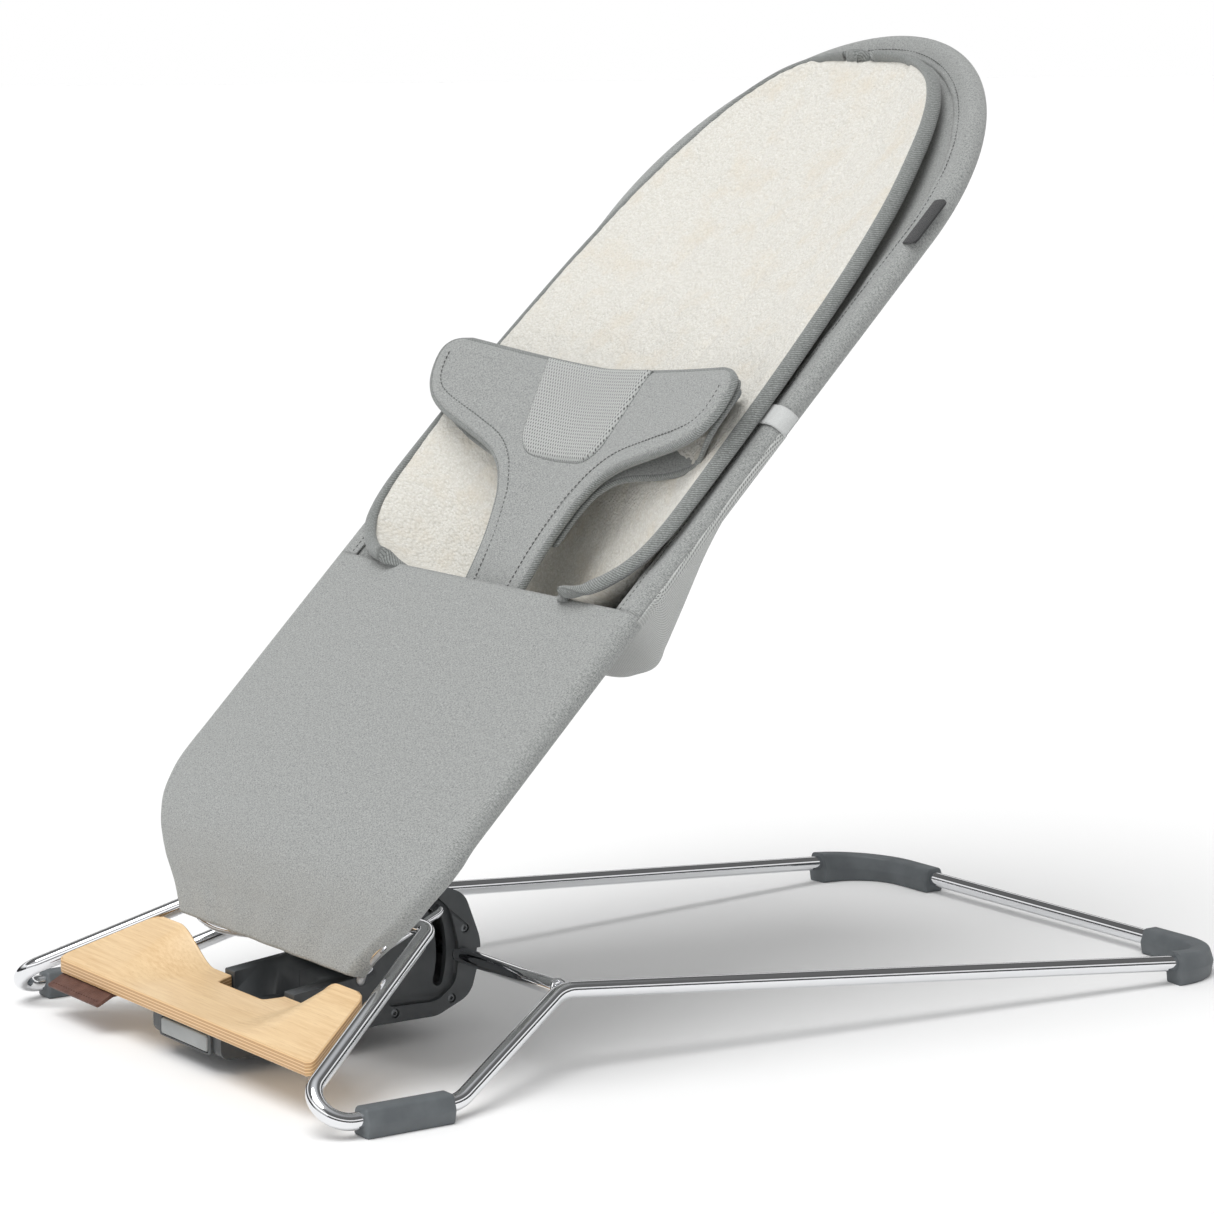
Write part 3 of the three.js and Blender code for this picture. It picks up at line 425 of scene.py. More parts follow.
def slab(x, y, top, thick, round_over=0.0011, steps=5):
    """A board from the grid x, y: the rim joins the two faces by a quarter round, a straight side and another
    quarter round."""
    rows, columns = x.shape
    loop = np.concatenate([[(0, j) for j in range(columns)], [(i, columns - 1) for i in range(1, rows)],
                           [(rows - 1, j) for j in range(columns - 2, -1, -1)],
                           [(i, 0) for i in range(rows - 2, 0, -1)]])
    rim = np.stack([x[loop[:, 0], loop[:, 1]], y[loop[:, 0], loop[:, 1]]], -1)
    tangent = unit(np.roll(rim, -2, 0) - np.roll(rim, 2, 0))
    outward = np.stack([tangent[:, 1], -tangent[:, 0]], -1)
    turn = np.linspace(0, np.pi / 2, steps)
    dip, draw = round_over * (1 - np.cos(turn)), round_over * (1 - np.sin(turn))
    sunk = np.concatenate([dip, thick - dip[::-1]])
    drawn = -np.concatenate([draw, draw[::-1]])
    face = np.stack([x, y, top(x, y)], -1).reshape(-1, 3)
    ring = [np.stack([*(rim + outward * d).T, top(*rim.T) - s], -1) for s, d in zip(sunk, drawn)]
    points = np.concatenate([face, *ring, face - [0, 0, thick]])
    index = loop[:, 0] * columns + loop[:, 1]
    base = rows * columns
    n = len(loop)
    low = base + len(ring) * n
    points[index] = ring[0]
    points[low + index] = ring[-1]
    faces = [grid_faces(rows, columns), grid_faces(len(ring), n, False, True) + base,
             grid_faces(rows, columns)[:, ::-1] + low]
    j = np.arange(n)
    k = (j + 1) % n
    last = low - n
    faces.append(np.stack([index[j], index[k], base + k, base + j], -1)[:, ::-1])
    faces.append(np.stack([last + j, last + k, low + index[k], low + index[j]], -1)[:, ::-1])
    return points, np.concatenate(faces), sunk, n


def welded(made, distance=1e-6, outward=False):
    """Merges points that lie together, and may turn every face outwards."""
    bpy.context.view_layer.objects.active = made
    for other in bpy.context.selected_objects:
        other.select_set(False)
    made.select_set(True)
    bpy.ops.object.mode_set(mode="EDIT")
    bpy.ops.mesh.select_all(action="SELECT")
    bpy.ops.mesh.remove_doubles(threshold=distance)
    if outward:
        bpy.ops.mesh.normals_make_consistent(inside=False)
    bpy.ops.object.mode_set(mode="OBJECT")
    made.select_set(False)


def plywood_finish():
    """Birch: pale wood with long grain along X on the faces, and on the cut edges nine plies with dark glue
    lines, told apart by how deep a point lies under the top face."""
    made = Finish("birch_plywood", roughness=0.42, coat_weight=0.18, coat_roughness=0.25)
    grain = made.noise(made.place((3.0, 60.0, 60.0)), 9.0, 5.0, 0.6)
    pores = made.noise(made.place((25.0, 700.0, 700.0)), 3.0, 2.0)
    cloud = made.noise(made.place((4.0, 10.0, 10.0)), 3.0, 2.0)
    tone = made.mix(made.between(grain, 0.3, 0.7), rgb(236, 205, 160), rgb(213, 176, 128))
    tone = made.mix(made.between(cloud, 0.3, 0.7, 0.0, 0.5), tone, rgb(240, 214, 172))
    tone = made.mix(made.between(pores, 0.62, 0.75, 0.0, 0.35), tone, rgb(168, 124, 80))
    depth = made.node("ShaderNodeAttribute", {"attribute_name": "ply_depth"}, out="Fac")
    edge = made.node("ShaderNodeAttribute", {"attribute_name": "cut_edge"}, out="Fac")
    turn = (depth * PLIES).maths("FRACT")
    glue = made.between(turn, 0.0, 0.16, 1.0, 0.0) + made.between(turn, 0.84, 1.0, 0.0, 1.0)
    crossed = (depth * (PLIES / 2)).maths("FRACT") > 0.5
    ply = made.mix(crossed, rgb(226, 190, 142), rgb(196, 152, 102))
    ply = made.mix(glue * 0.75, ply, rgb(118, 80, 50))
    made.set("Base Color", made.mix(edge, tone, ply))
    made.bump(pores * 0.6 + grain * 0.4, 0.00008)
    return made.material


px, py = plate_points()
points, faces, sunk, rim_n = slab(px, py, plate_top, PLATE_THICK)
flat_face = np.zeros(px.size)
cut_share = np.array([0, 0.6, 1, 1, 1, 1, 1, 1, 0.6, 0])
deep = np.concatenate([flat_face, np.repeat(sunk / PLATE_THICK, rim_n), flat_face + 1])
cut = np.concatenate([flat_face, np.repeat(cut_share, rim_n), flat_face])
plate_piece = piece("plywood_footplate", points + [0, -BACK, 0], faces, plywood_finish(), "birch_plywood",
                    "base", replaces=["footplate"], angle=50)
for name, values in (("ply_depth", deep), ("cut_edge", cut)):
    layer = plate_piece.data.attributes.new(name, "FLOAT", "POINT")
    layer.data.foreach_set("value", values.astype(np.float32))
welded(plate_piece, 1e-6, outward=True)


# ---- leather tag ---------------------------------------------------------------------------------
# A strip of brown leather, doubled and stitched, fixed under the plate's front edge and leaning forward.
def leather_finish():
    """Leather: pebbled grain, with darker and paler clouds."""
    made = Finish("brown_leather", roughness=0.55)
    pebbles = {"Vector": made.place(), "Scale": 900.0}
    cell = made.node("ShaderNodeTexVoronoi", {"feature": "DISTANCE_TO_EDGE"}, pebbles)
    cloud = made.noise(made.place(), 120.0, 3.0)
    made.set("Base Color", made.mix(made.between(cloud, 0.3, 0.7), rgb(84, 52, 42), rgb(108, 74, 62)))
    made.bump(made.between(cell, 0.0, 0.3), 0.00012)
    return made.material


TAG_X = (-0.156, -0.088)


def tag_points():
    """A flat bar whose section leans down and forward, closed by end rows drawn in by 0.7 mm."""
    root = PLATE_Z - PLATE_THICK - 0.0003
    section = rounded_outline([(0.054, root + 0.0006), (0.046, root), (0.0345, 0.0206), (0.0353, 0.0184),
                               (0.047, root - 0.0023), (0.054, root - 0.0017)],
                              [0, 0, 0.0009, 0.0009, 0, 0], 4)
    start, end = TAG_X
    x = np.array([start, start + 0.0004, start + 0.001, *np.linspace(start + 0.004, end - 0.004, 24),
                  end - 0.001, end - 0.0004, end])
    shrink = np.array([0.0007, 0.0002, 0, *[0] * 24, 0, 0.0002, 0.0007])[:, None, None]
    middle = section.mean(0)
    ring = section + unit(middle - section) * shrink
    points = np.concatenate([np.broadcast_to(x[:, None, None], ring[..., :1].shape), ring], -1)
    return points, capped_faces(len(x), len(section))


leather = leather_finish()
points, faces = tag_points()
welded(piece("stitched_leather_tag", points + [0, -BACK, 0], faces, leather, "brown_leather", "base",
             replaces=["leather_tag"], angle=50), outward=True)


def toned(colour, factor):
    """The same colour, lighter or darker."""
    return (*(c * factor for c in colour[:3]), 1.0)


def thread_finish(name, colour):
    """Spun thread, a little paler here and there."""
    made = Finish(name, roughness=0.7)
    made.set("Base Color", made.mix(made.noise(made.place(), 400.0), colour, toned(colour, 1.15)))
    return made.material


def stitches(path, up, length=0.0024, gap=0.0011, width=0.0004):
    """Stitches along a line: each is a six-sided bar, thick in the middle and sunk at both ends."""
    along = lengths(path)
    starts = np.arange(0.0, along[-1] - length, length + gap)
    share = np.array([0.0, 0.2, 0.5, 0.8, 1.0])
    at = starts[:, None] + share * length
    line = np.stack([np.interp(at, along, path[:, k]) for k in range(3)], -1)
    lift = unit(np.stack([np.interp(at, along, up[:, k]) for k in range(3)], -1))
    tangent = unit(line[:, -1:] - line[:, :1])
    side = unit(np.cross(tangent, lift))
    turn = np.linspace(0, 2 * np.pi, 6, endpoint=False)
    thick = (width * np.array([0.35, 0.9, 1.0, 0.9, 0.35]))[None, :, None, None]
    ring = side[:, :, None] * np.cos(turn)[:, None] + lift[:, :, None] * np.sin(turn)[:, None]
    sink = (np.array([-0.9, 0.1, 0.45, 0.1, -0.9]) * width)[None, :, None]
    points = (line + lift * sink)[:, :, None] + ring * thick
    one = capped_faces(len(share), len(turn))
    size = len(share) * len(turn)
    return points, [[i * size + k for k in face] for i in range(len(starts)) for face in one]


brown_thread = thread_finish("brown_thread", rgb(74, 46, 38))
edge_line = np.stack([np.linspace(TAG_X[0] + 0.003, TAG_X[1] - 0.003, 40), np.full(40, 0.0372 - BACK),
                      np.full(40, 0.0220)], -1)
piece("leather_tag_stitching", *stitches(edge_line, np.tile([0.0, -0.5, 0.87], (40, 1)), width=0.0003),
      brown_thread, "brown_leather", "base")


# ---- hub, button, pivot and screws ---------------------------------------------------------------
# Dark grey moulded plastic halves round the pivot, with a release button in a bezel at the nose. The pivot
# bar turns in a housing on the hub's front, with brass washers and a grey collar at its right end.
def plastic_finish(name, dark, light):
    """Moulded plastic with an even spark texture and paler handled patches."""
    made = Finish(name)
    cloud = made.noise(made.place(), 35.0, 3.0)
    made.set("Base Color", made.mix(made.between(cloud, 0.3, 0.7), dark, light))
    made.set("Roughness", made.between(made.noise(made.place(), 200.0), 0.3, 0.7, 0.40, 0.53))
    made.bump(made.noise(made.place(), 1200.0, 1.0), 0.00005)
    return made.material


dark_plastic = plastic_finish("dark_plastic", rgb(66, 69, 71), rgb(78, 81, 83))
light_plastic = plastic_finish("light_plastic", rgb(146, 149, 149), rgb(160, 163, 163))
brass = bright_metal("turned_brass", rgb(196, 152, 84), 0.22, 0.1)
zinc = bright_metal("zinc_steel", rgb(120, 122, 124), 0.3, 0.12)


SHARP = math.radians(30)


def refined(node, material, body, bevel):
    """A copy of a rigid part with its triangles joined into flat faces and, where bevel is above zero, its
    edges rounded.
    """
    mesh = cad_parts[node].data.copy()
    made = bpy.data.objects.new(f"{node}_finished", mesh)
    bpy.context.scene.collection.objects.link(made)
    welded(made, 1e-5)
    bpy.ops.object.mode_set(mode="EDIT")
    bpy.ops.mesh.select_all(action="SELECT")
    bpy.ops.mesh.dissolve_limited(angle_limit=math.radians(1.0))
    bpy.ops.object.mode_set(mode="OBJECT")
    if bevel:
        rounding = made.modifiers.new("edges", "BEVEL")
        rounding.width, rounding.segments = bevel, 3
        rounding.limit_method, rounding.angle_limit = "ANGLE", SHARP
        rounding.use_clamp_overlap = True
        mesh = bpy.data.meshes.new_from_object(made.evaluated_get(bpy.context.evaluated_depsgraph_get()))
        made.modifiers.clear()
        made.data = mesh
    mesh.polygons.foreach_set("use_smooth", [True] * len(mesh.polygons))
    mesh.set_sharp_from_angle(angle=SHARP)
    mesh.materials.clear()
    mesh.materials.append(material)
    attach(made, body)
    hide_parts(node)


for side in ("right", "left"):
    refined(f"hub_{side}", dark_plastic, "base", 0.0)
    refined(f"pivot_bush_{side}", brass, "base", 0.0002)
    refined(f"plate_screw_{side}", zinc, "base", 0.0002)
for node, material, slot, body, bevel in (
        ("button_bezel", dark_plastic, "hub_plastic", "base", 0.0006),
        ("release_button", light_plastic, "light_plastic", "release", 0.0005),
        ("release_rod", zinc, "screw_steel", "release", 0.0002),
        ("latch_plate", zinc, "screw_steel", "release", 0.0003),
        ("pivot_housing", dark_plastic, "hub_plastic", "base", 0.0005),
        ("bar_collar", light_plastic, "light_plastic", "seat", 0.0008),
        ("spring_washer_1", brass, "washer_brass", "seat", 0.0003),
        ("spring_washer_2", brass, "washer_brass", "seat", 0.0003)):
    refined(node, material, body, bevel)
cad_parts["button_spring"].data.materials.clear()
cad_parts["button_spring"].data.materials.append(zinc)


def screw_head(centre, outward, radius=0.0027):
    """A pan head with a six-lobed socket: rings from the rim over the crown and down into the socket."""
    sides = 48
    turn = np.linspace(0, 2 * np.pi, sides, endpoint=False)
    lobe = 0.00115 * (1 + 0.16 * np.cos(6 * turn))
    rings = [(radius, -0.0014), (radius, -0.0001), (radius * 0.94, 0.00025), (radius * 0.75, 0.00045),
             (lobe * 1.12, 0.0005), (lobe, 0.00035), (lobe * 0.95, -0.0011), (0.0002, -0.0012)]
    rows = [np.stack([np.full(sides, h), r * np.cos(turn), r * np.sin(turn) * outward], -1) for r, h in rings]
    points = np.array(rows) * [outward, 1, 1] + centre
    total = len(rings) * sides
    socket_floor = [list(range(total - sides, total))]
    return points, grid_faces(len(rings), sides, False, True).tolist() + socket_floor


screw_places = [(0.226, 0.070), (0.216, 0.0264), (0.1743, 0.0224)]
for side, sign in SIDES:
    for n, (y, z) in enumerate(screw_places, 1):
        made = piece(f"hub_screw_head_{side}_{n}", *screw_head(base_point(sign * 0.0418, y, z), sign), zinc,
                     "screw_steel", "base", replaces=[f"hub_screw_{side}_{n}"], angle=40)
        welded(made, 1e-7, outward=True)

PIVOT, BAR_R = (0.144, 0.057), 0.00275
bar = np.array([base_point(x, *PIVOT) for x in np.linspace(-0.056, 0.056, 5)])
piece("pivot_bar_rod", *tube(bar, BAR_R, 24), chrome, "base_wire", "seat", replaces=["pivot_bar"])
for side, sign in SIDES:
    arm = bent_path([base_point(sign * 0.052, 0.1476, 0.0614), base_point(sign * 0.052, 0.204, 0.086),
                     base_point(sign * 0.0315, 0.204, 0.086)], [0.006], 0.0008)
    piece(f"recline_arm_rod_{side}", *tube(arm, BAR_R, 24), chrome, "base_wire", "seat",
          replaces=[f"recline_arm_{side}"])


# ---- seat tubes ----------------------------------------------------------------------------------
# Eight-millimetre steel tube, plated: it leaves the pivot bar, sweeps out and up, runs straight along both
# sides, and closes in a half circle at the head.
SEAT_FOOT = (0.148 - BACK, 0.155)
SEAT_ANGLE = math.radians(45.3)
SEAT_HALF, RAIL_LENGTH, TUBE_R = 0.165, 0.4834, 0.004


def seat_point(x, along, off=0.0):
    """A point given by its distance along the rails from their lower end, and above their plane."""
    x, along, off = np.broadcast_arrays(*(np.asarray(v, float) for v in (x, along, off)))
    c, s = math.cos(SEAT_ANGLE), math.sin(SEAT_ANGLE)
    return np.stack([x, SEAT_FOOT[0] + along * c - off * s, SEAT_FOOT[1] + along * s + off * c], -1)


def smooth_line(points, per=14):
    """A Catmull-Rom curve: each stretch is a cubic whose end slopes are half the span of the neighbours."""
    p = np.asarray(points, float)
    p = np.concatenate([[2 * p[0] - p[1]], p, [2 * p[-1] - p[-2]]])
    t = np.linspace(0, 1, per, endpoint=False)[:, None]
    made = []
    for a, b, c, d in zip(p, p[1:], p[2:], p[3:]):
        made.append(0.5 * (2 * b + (c - a) * t + (2 * a - 5 * b + 4 * c - d) * t ** 2
                           + (3 * b - a - 3 * c + d) * t ** 3))
    return np.concatenate([*made, p[-2:-1]])


LOWER_RUN = [(0.0583, 0.144, 0.057), (0.066, 0.1425, 0.057), (0.090, 0.121, 0.061), (0.109, 0.114, 0.076),
             (0.135, 0.118, 0.100), (0.153, 0.125, 0.121), (0.1615, 0.134, 0.138)]
lower = smooth_line([base_point(*p) for p in LOWER_RUN] + [seat_point(SEAT_HALF, -0.007)])
arc = np.linspace(0, np.pi, 90)
bow = seat_point(SEAT_HALF * np.cos(arc), RAIL_LENGTH + SEAT_HALF * np.sin(arc))
mirror = np.array([-1.0, 1.0, 1.0])
seat_line = np.concatenate([lower, seat_point(SEAT_HALF, np.linspace(0, RAIL_LENGTH - 0.005, 30)), bow])
seat_line = np.concatenate([seat_line, seat_point(-SEAT_HALF, np.linspace(RAIL_LENGTH - 0.005, 0, 30)),
                            (lower * mirror)[::-1]])
piece("seat_tube", *tube(seat_line, TUBE_R, 20), chrome, "seat_tube", "seat",
      replaces=["lower_tube_right", "lower_tube_left", "seat_rail_right", "seat_rail_left", "head_bow"])


# ---- fabric of the seat --------------------------------------------------------------------------
# A grey melange weave, sewn to sleeves that slide over the tubes. The sleeve runs from the pocket round the
# head and back; its flange is sewn to the back panel.
SLEEVE_R = 0.0067
CLOTH = 0.0011
POCKET, BUCKET_END = 0.172, 0.322       # where the mesh bucket starts and ends along the rails
PANEL_LIFT, PANEL_SAG = 0.0042, 0.0125


def melange(name, dark, light, trough_shade, twill=False, thread=0.0009):
    """Woven cloth on the piece's own UV, which is in metres. Two sets of threads rise and fall in turn, or
    run in slanting ribs on a twill, and lighter and darker fibres are blended at random along them. Where the
    weave dips, the colour is darkened towards 0.45 of the dark tone by the given share, as painted shade in
    the weave's low points."""
    made = Finish(name, roughness=0.88, sheen_weight=0.25, sheen_roughness=0.6)
    across, along = made.cloth_axes()
    k = 2 * math.pi / thread
    if twill:
        weave = ((across + along) * (k / 2.2)).maths("SINE") * 0.5 + 0.5
    else:
        weave = (across * k).maths("SINE") * (along * k).maths("SINE") * 0.5 + 0.5
    streak_a = made.noise(made.place((560.0, 1500.0, 1.0), uv=True), 1.0, 3.0, 0.65)
    streak_b = made.noise(made.place((1500.0, 560.0, 1.0), uv=True), 1.0, 3.0, 0.65)
    blotch = made.noise(made.place((170.0, 170.0, 1.0), uv=True), 1.0, 3.0, 0.6)
    wool = streak_a * 0.50 + streak_b * 0.42 + blotch * 0.08
    shade = made.mix(made.between(wool, 0.38, 0.62), dark, light)
    # painted shade: the weave's low points are darkened towards 0.45 of the dark tone
    shade = made.mix(made.between(weave, 0.0, 0.5, trough_shade, 0.0), shade, toned(dark, 0.45))
    made.set("Base Color", shade)
    made.bump(weave * 0.6 + wool * 0.6, 0.00022)
    return made.material


# the third number is the share of painted shade in the weave's low points
grey_cloth = melange("grey_melange", rgb(112, 115, 114), rgb(184, 186, 184), 0.35)
grey_twill = melange("grey_twill_tape", rgb(104, 108, 106), rgb(160, 163, 161), 0.75, True, 0.0008)


def pairs(a, b):
    """Two arrays as one of (a, b) pairs."""
    return np.stack(np.broadcast_arrays(a, b), -1)


def strip(path, outward, normal, profile):
    """A profile of (outward, normal) offsets carried along a path, with its UV in metres."""
    points = path[:, None] + outward[:, None] * profile[None, :, :1] + normal[:, None] * profile[None, :, 1:2]
    return points, pairs(lengths(profile)[None, :], lengths(path)[:, None])


def sheet_piece(name, points, uv, flip=1, thick=CLOTH, offset=0.0, cloth=grey_cloth,
                slot="grey_fabric", **more):
    """A grid of points as cloth of its own thickness. flip is -1 where its columns run the other way."""
    made = piece(name, points, grid_faces(*points.shape[:2])[:, ::flip], cloth, slot, "seat", uv, **more)
    solid = made.modifiers.new("cloth", "SOLIDIFY")
    solid.thickness, solid.offset, solid.use_even_offset = thick, offset, True
    return made


def wrap_profile(flange, hem):
    """From the flange's inner edge over the tube, round its outer side, and back under it to the hem."""
    turn = np.linspace(np.pi / 2, -np.pi / 2, 17)
    round_it = np.stack([np.cos(turn), np.sin(turn)], -1) * SLEEVE_R
    top = np.stack([np.linspace(-flange, -0.001, 7), np.full(7, SLEEVE_R)], -1)
    top[:, 1] -= 0.0016 * smoothstep(0.0, flange, -top[:, 0])
    under = np.stack([np.linspace(-0.001, -hem, 6), np.full(6, -SLEEVE_R)], -1)
    under[:, 1] += 0.004 * smoothstep(0.0, hem, -under[:, 0])
    return np.concatenate([top, round_it, under])


rail_s = np.linspace(POCKET, RAIL_LENGTH, 90)
bow_a = np.linspace(0, np.pi, 130)[1:-1]
rim_x = np.concatenate([np.full(90, SEAT_HALF), SEAT_HALF * np.cos(bow_a), np.full(90, -SEAT_HALF)])
rim_s = np.concatenate([rail_s, RAIL_LENGTH + SEAT_HALF * np.sin(bow_a), rail_s[::-1]])
rim_path = seat_point(rim_x, rim_s)
seat_normal = seat_point(0, 0, 1) - seat_point(0, 0, 0)
tangent = unit(np.gradient(rim_path, axis=0))
rim_out = unit(np.cross(tangent, seat_normal))
rim_normal = np.broadcast_to(seat_normal, rim_path.shape)
ripple = 0.00035 * (np.sin(lengths(rim_path) * 95) + 0.6 * np.sin(lengths(rim_path) * 231 + 1.1))
profile = wrap_profile(0.013, 0.014)
points, uv = strip(rim_path, rim_out, rim_normal, profile)
on_flange = smoothstep(0.004, 0.012, -profile[:, 0])
points += rim_normal[:, None] * (ripple[:, None] * on_flange[None])[..., None]
frame_sleeve = sheet_piece("frame_sleeve", points, uv)


def cover_half(along):
    """Half width of the back panel: constant along the rails, round at the head."""
    past = np.maximum(0, along - RAIL_LENGTH)
    r = SEAT_HALF - 0.009
    return np.sqrt(np.maximum(0.0, r * r - past * past))


def back_panel():
    """Rows across the seat, from the bucket's rear edge to the head, dished by up to 12.5 mm."""
    top = RAIL_LENGTH + SEAT_HALF - 0.0095
    u = np.linspace(0, 1, 150)[:, None]
    turn = np.where(u < 0.5, u, 0.5 + 0.5 * np.sin((u - 0.5) * np.pi))
    along = BUCKET_END - 0.004 + turn * (top - BUCKET_END + 0.004)
    v = np.linspace(-1, 1, 71)[None, :]
    x = v * np.maximum(cover_half(along), 0.004)
    sag = -PANEL_SAG * (1 - v ** 2) ** 0.8 * smoothstep(0, 0.13, top - along)
    return seat_point(x, along, PANEL_LIFT + sag), pairs(x, along)


points, uv = back_panel()
back = sheet_piece("back_panel", points, uv, -1, offset=-1.0, replaces=["seat_back"])


grey_thread = thread_finish("grey_thread", rgb(96, 98, 97))
seam = resampled(rim_path - rim_out * 0.0085 + seat_normal * 0.0063, 0.001)
seam_up = np.tile(seat_normal, (len(seam), 1))
piece("sleeve_topstitch", *stitches(seam, seam_up, width=0.0003), grey_thread, "grey_fabric", "seat")


# ---- mesh bucket ---------------------------------------------------------------------------------
# The seat's bottom: an open spacer-mesh fabric that hangs between the side bands as a deep pocket.
def spacer_mesh(name, solid, hole_shade, pitch):
    """Knitted mesh: rows of small holes set in a honeycomb, from the product of two waves. The holes are not
    cut; they are painted in a darker colour as painted shade seen into them.
    """
    made = Finish(name, roughness=0.8, sheen_weight=0.15)
    across, along = made.cloth_axes()
    k = 2 * math.pi / pitch
    wave = (across * k).maths("COSINE") * (along * (k / math.sqrt(3))).maths("COSINE")
    hole = made.between(wave, 0.25, 0.7)
    wool = made.noise(made.place((700.0, 700.0, 1.0), uv=True), 1.0, 2.0)
    yarn = made.mix(made.between(wool, 0.35, 0.65), solid, toned(solid, 1.12))
    # painted shade: the holes take the darker colour
    made.set("Base Color", made.mix(hole, yarn, hole_shade))
    made.bump(1.0 - hole + wool * 0.2, 0.0004)
    return made.material


# the second colour is the painted shade in the mesh's holes
bucket_cloth = spacer_mesh("bucket_mesh", rgb(188, 190, 188), rgb(122, 124, 123), 0.0024)
BUCKET_HALF, BUCKET_DEPTH = 0.1643, 0.114
BAND_OUTER, BAND_WIDTH = 0.158, 0.024
WRAP_R = 0.0076            # the mesh goes round the outside of the sleeves


def bucket_depth(u):
    """It drops at once behind the lower cover, and its floor slopes up towards the back."""
    u = np.clip(u, 0, 1)
    return BUCKET_DEPTH * quarter_rise(u, 0.18) * (1 - u) ** 0.7


def grid_uv(points):
    """Each point's distance from the first column and the first row, measured over the surface."""
    over = np.cumsum(np.linalg.norm(np.diff(points, axis=1), axis=2), 1)
    down = np.cumsum(np.linalg.norm(np.diff(points, axis=0), axis=2), 0)
    return np.stack([np.pad(over, ((0, 0), (1, 0))), np.pad(down, ((1, 0), (0, 0)))], -1)


def bucket_points():
    """Rows across: round the left rail, down to the floor of the bucket and round the right rail."""
    u = np.linspace(0, 1, 100)[:, None] ** 1.5
    v = np.linspace(-1, 1, 121)[None, :]
    along = POCKET - 0.002 + u * (BUCKET_END - POCKET + 0.004)
    x = v * BUCKET_HALF
    off = -WRAP_R - bucket_depth(u) * (1 - np.abs(v) ** 2.2)
    folds = 0.0014 * np.sin(x * 130 + 4 * u) * smoothstep(0.0, 0.25, u) * smoothstep(0.02, 0.09, -off)
    turn = np.radians(np.linspace(-85, 8, 10))[None, :] + 0 * u
    wrap_x, wrap_off = SEAT_HALF + WRAP_R * np.cos(turn), WRAP_R * np.sin(turn)
    x = np.concatenate([-wrap_x[:, ::-1], x + 0 * u, wrap_x], 1)
    off = np.concatenate([wrap_off[:, ::-1], off + folds, wrap_off], 1)
    points = seat_point(x, along + 0 * x, off)
    return points, grid_uv(points)


points, uv = bucket_points()
bucket = sheet_piece("mesh_bucket_cloth", points, uv, -1, 0.0016, -1.0, bucket_cloth,
                     replaces=["mesh_bucket"])

for side, sign in SIDES:
    along = np.linspace(POCKET + 0.001, BUCKET_END + 0.004, 60)[:, None]
    v = np.linspace(0, 1, 12)[None, :]
    x = sign * (BAND_OUTER - BAND_WIDTH * v)
    points = seat_point(x, along, 0.0045 - 0.010 * v ** 1.5 - 0.0004)
    uv = pairs(x, along)
    band = sheet_piece(f"side_band_{side}", points, uv, sign)


# ---- lower cover ---------------------------------------------------------------------------------
# One grey panel stretched over the lower tubes, from the hem above the footplate to the pocket's edge.
cover_line = smooth_line([base_point(*p) for p in (
    (0.1005, 0.110, 0.0675), (0.111, 0.113, 0.080), (0.123, 0.116, 0.090), (0.135, 0.1185, 0.100),
    (0.145, 0.1215, 0.110), (0.153, 0.125, 0.1205), (0.1605, 0.131, 0.132), (0.1645, 0.1395, 0.144))]
    + [seat_point(SEAT_HALF, s) for s in (0.0, 0.03, 0.07, 0.12, POCKET)], 12)


def lower_cover():
    """Across each row: under the left tube, round it, over the front in a shallow arch, and round the right
    tube. The direction that faces the front turns with the slope of the tubes."""
    line = resampled(cover_line, 0.0024)
    slope = unit(np.gradient(line, axis=0) * [0, 1, 1])
    front = np.stack([0 * slope[:, 0], -slope[:, 2], slope[:, 1]], -1)
    u = np.linspace(0, 1, len(line))[:, None]
    turn = np.linspace(-np.pi / 2, np.pi / 2, 15)
    wrap_x, wrap_n = SLEEVE_R * np.cos(turn), SLEEVE_R * np.sin(turn)
    v = np.linspace(1, -1, 101)[1:-1][None, :]
    x = line[:, :1]
    middle_n = SLEEVE_R + 0.004 * (1 - v ** 2) * np.sin(np.pi * u) ** 0.7
    crease = 0.0007 * np.exp(-(u / 0.18) ** 2) * np.sin(v * 17 + 0.6) * (1 - v ** 4)
    under_x = -np.linspace(0.016, 0.002, 5)
    under_n = np.full(5, -SLEEVE_R) + np.linspace(0.004, 0, 5)
    across = np.concatenate([x + under_x, x + wrap_x, x * v, -x - wrap_x[::-1], -x - under_x[::-1]], 1)
    raised = np.concatenate([0 * x + under_n, 0 * x + wrap_n, middle_n + crease, 0 * x + wrap_n[::-1],
                             0 * x + under_n[::-1]], 1)
    points = line[:, None] * [0, 1, 1] + front[:, None] * raised[..., None]
    points[..., 0] = across
    flat = grid_uv(points)[..., 0]
    flat = flat - flat[:, -1:] / 2
    return points, pairs(flat, lengths(line)[:, None])


points, uv = lower_cover()
cover = sheet_piece("lower_cover_cloth", points, uv, replaces=["lower_cover"])


# ---- liner ---------------------------------------------------------------------------------------
# A cream terry pad, filled with thin wadding and bound with grey twill tape, that lies on the back and dips
# into the bucket. Two faint channels run down it.
LINER_AT = [(0.172, 0.106), (0.1735, 0.115), (0.1775, 0.125), (0.186, 0.138), (0.200, 0.150), (0.220, 0.157),
            (0.250, 0.159), (0.330, 0.157), (0.400, 0.152), (0.450, 0.146), (0.500, 0.136), (0.550, 0.119),
            (0.575, 0.107), (0.592, 0.095), (0.606, 0.080), (0.616, 0.061), (0.622, 0.040), (0.6245, 0.020),
            (0.6252, 0.006)]
LINER_FOOT, LINER_HEAD = 0.172, 0.6252
TAPE_STEP, TAPE_SIDES = 0.0022, 18
CHANNEL_X = 0.047          # from the middle to each channel


